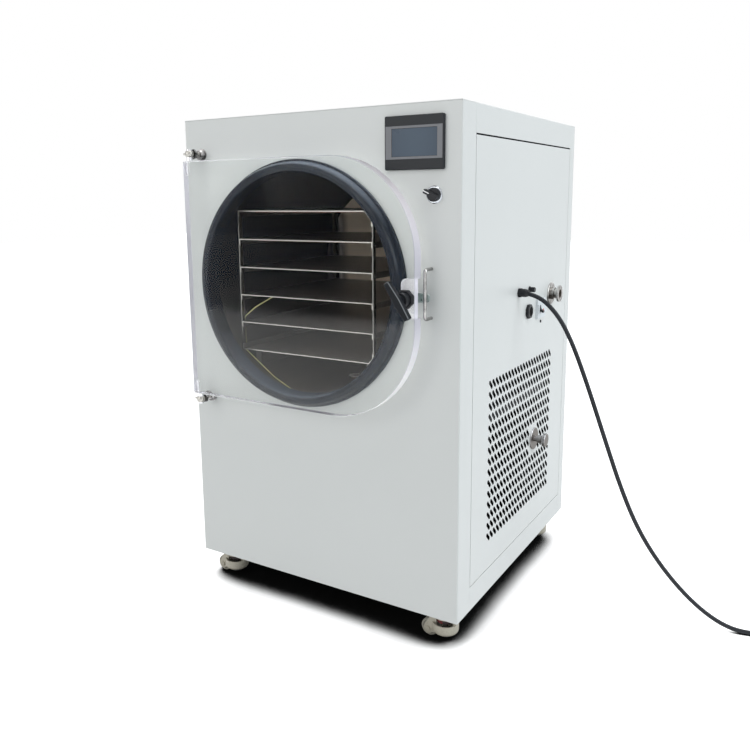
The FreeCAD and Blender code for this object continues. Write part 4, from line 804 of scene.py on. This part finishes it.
def grille_panel():
    """The right panel cut from one outline with every slot and port hole open, and its four folded lips."""
    low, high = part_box("right_panel")
    curve = bpy.data.curves.new("right_panel_outline", "CURVE")
    curve.dimensions = "2D"
    curve.fill_mode = "BOTH"
    curve.extrude = PANEL_SHEET / 2
    closed_spline(curve, [(low[1], low[2]), (high[1], low[2]), (high[1], high[2]), (low[1], high[2])])
    drain = middle("drain_port")
    for row in range(GRILLE_ROWS):
        for column in range(GRILLE_COLUMNS):
            y = GRILLE_START[0] + column * GRILLE_PITCH[0]
            z = GRILLE_START[1] + row * GRILLE_PITCH[1]
            if math.hypot(y - drain.y, z - drain.z) >= GRILLE_KEEPOUT:
                closed_spline(curve, slot_points(y, z))
    for node, radius in PORT_HOLES:
        at = middle(node)
        closed_spline(curve, ring_points(at.y, at.z, radius * MM))
    box_low, box_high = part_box("breaker_body")
    front, back = box_low[1] - BREAKER_GAP, box_high[1] + BREAKER_GAP
    lower, upper = box_low[2] - BREAKER_GAP, box_high[2] + BREAKER_GAP
    closed_spline(curve, [(front, lower), (back, lower), (back, upper), (front, upper)])
    flat = bpy.data.objects.new("right_panel_outline", curve)
    bpy.context.scene.collection.objects.link(flat)
    mesh = bpy.data.meshes.new_from_object(flat.evaluated_get(bpy.context.evaluated_depsgraph_get()))
    bpy.data.objects.remove(flat)
    turn = Matrix(((0, 0, 1, high[0] - PANEL_SHEET / 2), (1, 0, 0, 0), (0, 1, 0, 0), (0, 0, 0, 1)))
    mesh.transform(turn)

    def lips(bm):
        bm.from_mesh(mesh)
        inner = high[0] - PANEL_SHEET
        add_block(bm, (low[0], low[1], low[2]), (inner, low[1] + PANEL_SHEET, high[2]))
        add_block(bm, (low[0], high[1] - PANEL_SHEET, low[2]), (inner, high[1], high[2]))
        add_block(bm, (low[0], low[1], low[2]), (inner, high[1], low[2] + PANEL_SHEET))
        add_block(bm, (low[0], low[1], high[2] - PANEL_SHEET), (inner, high[1], high[2]))

    panel = piece("right_panel_grille", mesh_of("right_panel_grille", lips), FINISH_OF["right_panel"])
    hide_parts("right_panel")


grille_panel()


# ---------------------------------------------------------------- small parts
def touch_fascia():
    """Grey frame round the display, set in the moulding's recess."""
    low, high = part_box("touch_panel")
    screen_low, screen_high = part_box("touch_screen")
    face = low[1] + 0.6 * MM
    centre = (low[2] + high[2]) / 2
    left, right = low[0] + 1.9 * MM, high[0] - 1.9 * MM
    bottom, top = centre - 28.5 * MM, centre + 29.5 * MM
    gap = 0.5 * MM
    inner = (screen_low[0] - gap, screen_high[0] + gap, screen_low[2] - gap, screen_high[2] + gap)

    def frame_strips(bm):
        for x0, x1, z0, z1 in ((left, inner[0], bottom, top), (inner[1], right, bottom, top),
                               (inner[0], inner[1], bottom, inner[2]), (inner[0], inner[1], inner[3], top)):
            add_block(bm, (x0, face - 0.25 * MM, z0), (x1, face, z1))

    material = moulded("strip_grey", (0.200, 0.202, 0.215, 1), 0.45)
    piece("touch_panel_frame", mesh_of("touch_panel_frame", frame_strips), material)


def rack_screws():
    """Pan-head screws through the uprights into every shelf flange."""
    low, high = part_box("rack_uprights")
    top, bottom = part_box("top_shelf")[1][2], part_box("bottom_shelf")[0][2]
    shelves = 6
    pitch = (top - bottom - 2 * MM) / (shelves - 1)
    heads = pan_head(3.0 * MM, 1.9 * MM)

    def screws(bm):
        for i in range(shelves):
            z = top - i * pitch + (-7 * MM if i < shelves - 1 else 5 * MM)
            for y in (low[1] + 5 * MM, high[1] - 5 * MM):
                add_turned(bm, heads, facing((low[0], y, z), (-1, 0, 0)), 16)
                drop = 19 * MM if i == 0 else (-9 * MM if i == shelves - 1 else 0)
                add_turned(bm, heads, facing((high[0], y, z - drop), (1, 0, 0)), 16)

    piece("rack_screws", mesh_of("rack_screws", screws), FINISH_OF["hinge_nuts"])


DRAIN_HOLE_Y = -0.0695
SELECTOR_AXIS = Vector((0.2555, 0.0, 0.884))
SELECTOR_TURN = 25              # degrees that the pointer leans at rest


def drain_strainer():
    """Pressed ring round the drain hole in the chamber floor, near white as a painted highlight for the shine
    on its rim.
    """
    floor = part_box("chamber_drum")
    x = (floor[0][0] + floor[1][0]) / 2
    z = floor[0][2] + 3 * MM
    profile = [(radius * MM, height * MM) for radius, height in
               ((5.5, -0.4), (8, 1.2), (12, 1.8), (16, 1.5), (17.5, 0.4), (5.5, -0.4))]
    upright = facing((x, DRAIN_HOLE_Y, z), (0, 0, 1))
    ring = mesh_of("drain_strainer", lambda bm: add_turned(bm, profile, upright, 40))
    # near white: a painted highlight
    piece("drain_strainer", ring, moulded("strainer_painted_highlight", (0.97, 0.95, 0.90, 1), 0.4),
          smooth=True)


def breaker_details():
    """Indicator dot, and the screw that holds the breaker's clip below it."""
    low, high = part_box("breaker_body")
    face = high[0]
    dot = mesh_of("breaker_dot", lambda bm: add_turned(
        bm, [(0, 0.5 * MM), (2.0 * MM, 0.5 * MM), (2.4 * MM, 0), (0, 0)],
        facing((face, low[1] + 31 * MM, (low[2] + high[2]) / 2 - 3.5 * MM), (1, 0, 0)), 20))
    piece("breaker_dot", dot, moulded("signal_red", (0.55, 0.03, 0.03, 1), 0.4))
    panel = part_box("right_panel")[1][0]
    place = facing((panel, high[1] - 20 * MM, low[2] - 10 * MM), (1, 0, 0))
    screw = mesh_of("clip_screw", lambda bm: add_turned(bm, pan_head(3.4 * MM, 2.0 * MM), place, 20))
    piece("clip_screw", screw, FINISH_OF["fuse_holder"])


def selector_index():
    """White index line along the outer half of the knob's pointer."""
    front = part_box("selector_knob")[0][1]

    def line(bm):
        add_block(bm, (-0.0172, front - 0.0001, -0.0009), (-0.0050, front + 0.0004, 0.0009))
        add_block(bm, (-0.0173, front + 0.0004, -0.0009), (-0.0169, front + 0.0050, 0.0009))
        bmesh.ops.transform(bm, verts=bm.verts,
                            matrix=Matrix.Translation(SELECTOR_AXIS)
                            @ Matrix.Rotation(math.radians(SELECTOR_TURN), 4, "Y"))

    piece("selector_index", mesh_of("selector_index", line), moulded("index_white", grey(0.90), 0.4),
          body="selector")


touch_fascia()
rack_screws()
drain_strainer()
breaker_details()
selector_index()


# ---------------------------------------------------------------- floor and light
SHADOW_REACH = 0.16             # how far a point of the floor looks for what stands over it
LAMPS = (("right_window", (3.4, 0.3, 2.5), 2.6, 56.0, (0.89, 0.955, 1.0)),
         ("front_fill", (-1.4, -3.6, 1.9), 2.4, 30.0, (1.0, 0.99, 0.96)),
         ("overhead", (0.2, -0.2, 3.6), 2.6, 34.0, (1.0, 1.0, 1.0)))
LAMP_TARGET = Vector((0, 0, 0.55))


def studio():
    """A white sweep whose floor keeps the lamps' shadow and carries a painted shadow under the cabinet, soft
    sky and three large soft lamps.
    """
    floor_mesh = mesh_of("floor", lambda bm: bmesh.ops.create_grid(bm, x_segments=1, y_segments=1, size=14.0))
    floor = bpy.data.objects.new("floor", floor_mesh)
    bpy.context.scene.collection.objects.link(floor)
    f = Finish("floor")
    open_sky = f.node("ShaderNodeAmbientOcclusion", {"samples": 40}, {"Distance": SHADOW_REACH}, "AO")
    clear = ((open_sky - 0.42) * 3.7).clamped()     # painted shadow: 0 close under the cabinet, 1 in the open
    speck = f.noise(3.0)
    # painted shadow: the floor's glow and colour go dark where the occlusion test finds the cabinet
    glow = f.mix(f.seen() * clear, grey(0.0), grey(1.0))
    base = f.mix(clear, grey(0.008), f.mix(speck, grey(0.60), grey(0.62)))
    floor_mesh.materials.append(f.surface(Base_Color=base, Roughness=0.8, Specular_IOR_Level=0.0,
                                          Emission_Color=glow, Emission_Strength=1.0))

    world = bpy.data.worlds.new("studio")
    bpy.context.scene.world = world
    world.use_nodes = True
    sky = Graph(world.node_tree)
    soft = sky.node("ShaderNodeBackground", {}, {"Color": (0.93, 0.97, 1.0, 1), "Strength": 0.66})
    white = sky.node("ShaderNodeBackground", {}, {"Color": grey(1.0), "Strength": 1.0})
    both = sky.node("ShaderNodeMixShader", {}, {0: sky.seen(), 1: soft, 2: white})
    sky.node("ShaderNodeOutputWorld", {}, {"Surface": both})

    for name, place, size, power, color in LAMPS:
        data = bpy.data.lights.new(name, "AREA")
        data.size = size
        data.energy = power
        data.color = color
        lamp = bpy.data.objects.new(name, data)
        lamp.location = place
        aim = LAMP_TARGET - Vector(place)
        lamp.rotation_euler = aim.to_track_quat("-Z", "Y").to_euler()
        bpy.context.scene.collection.objects.link(lamp)


studio()
bpy.context.scene.view_settings.view_transform = "Standard"
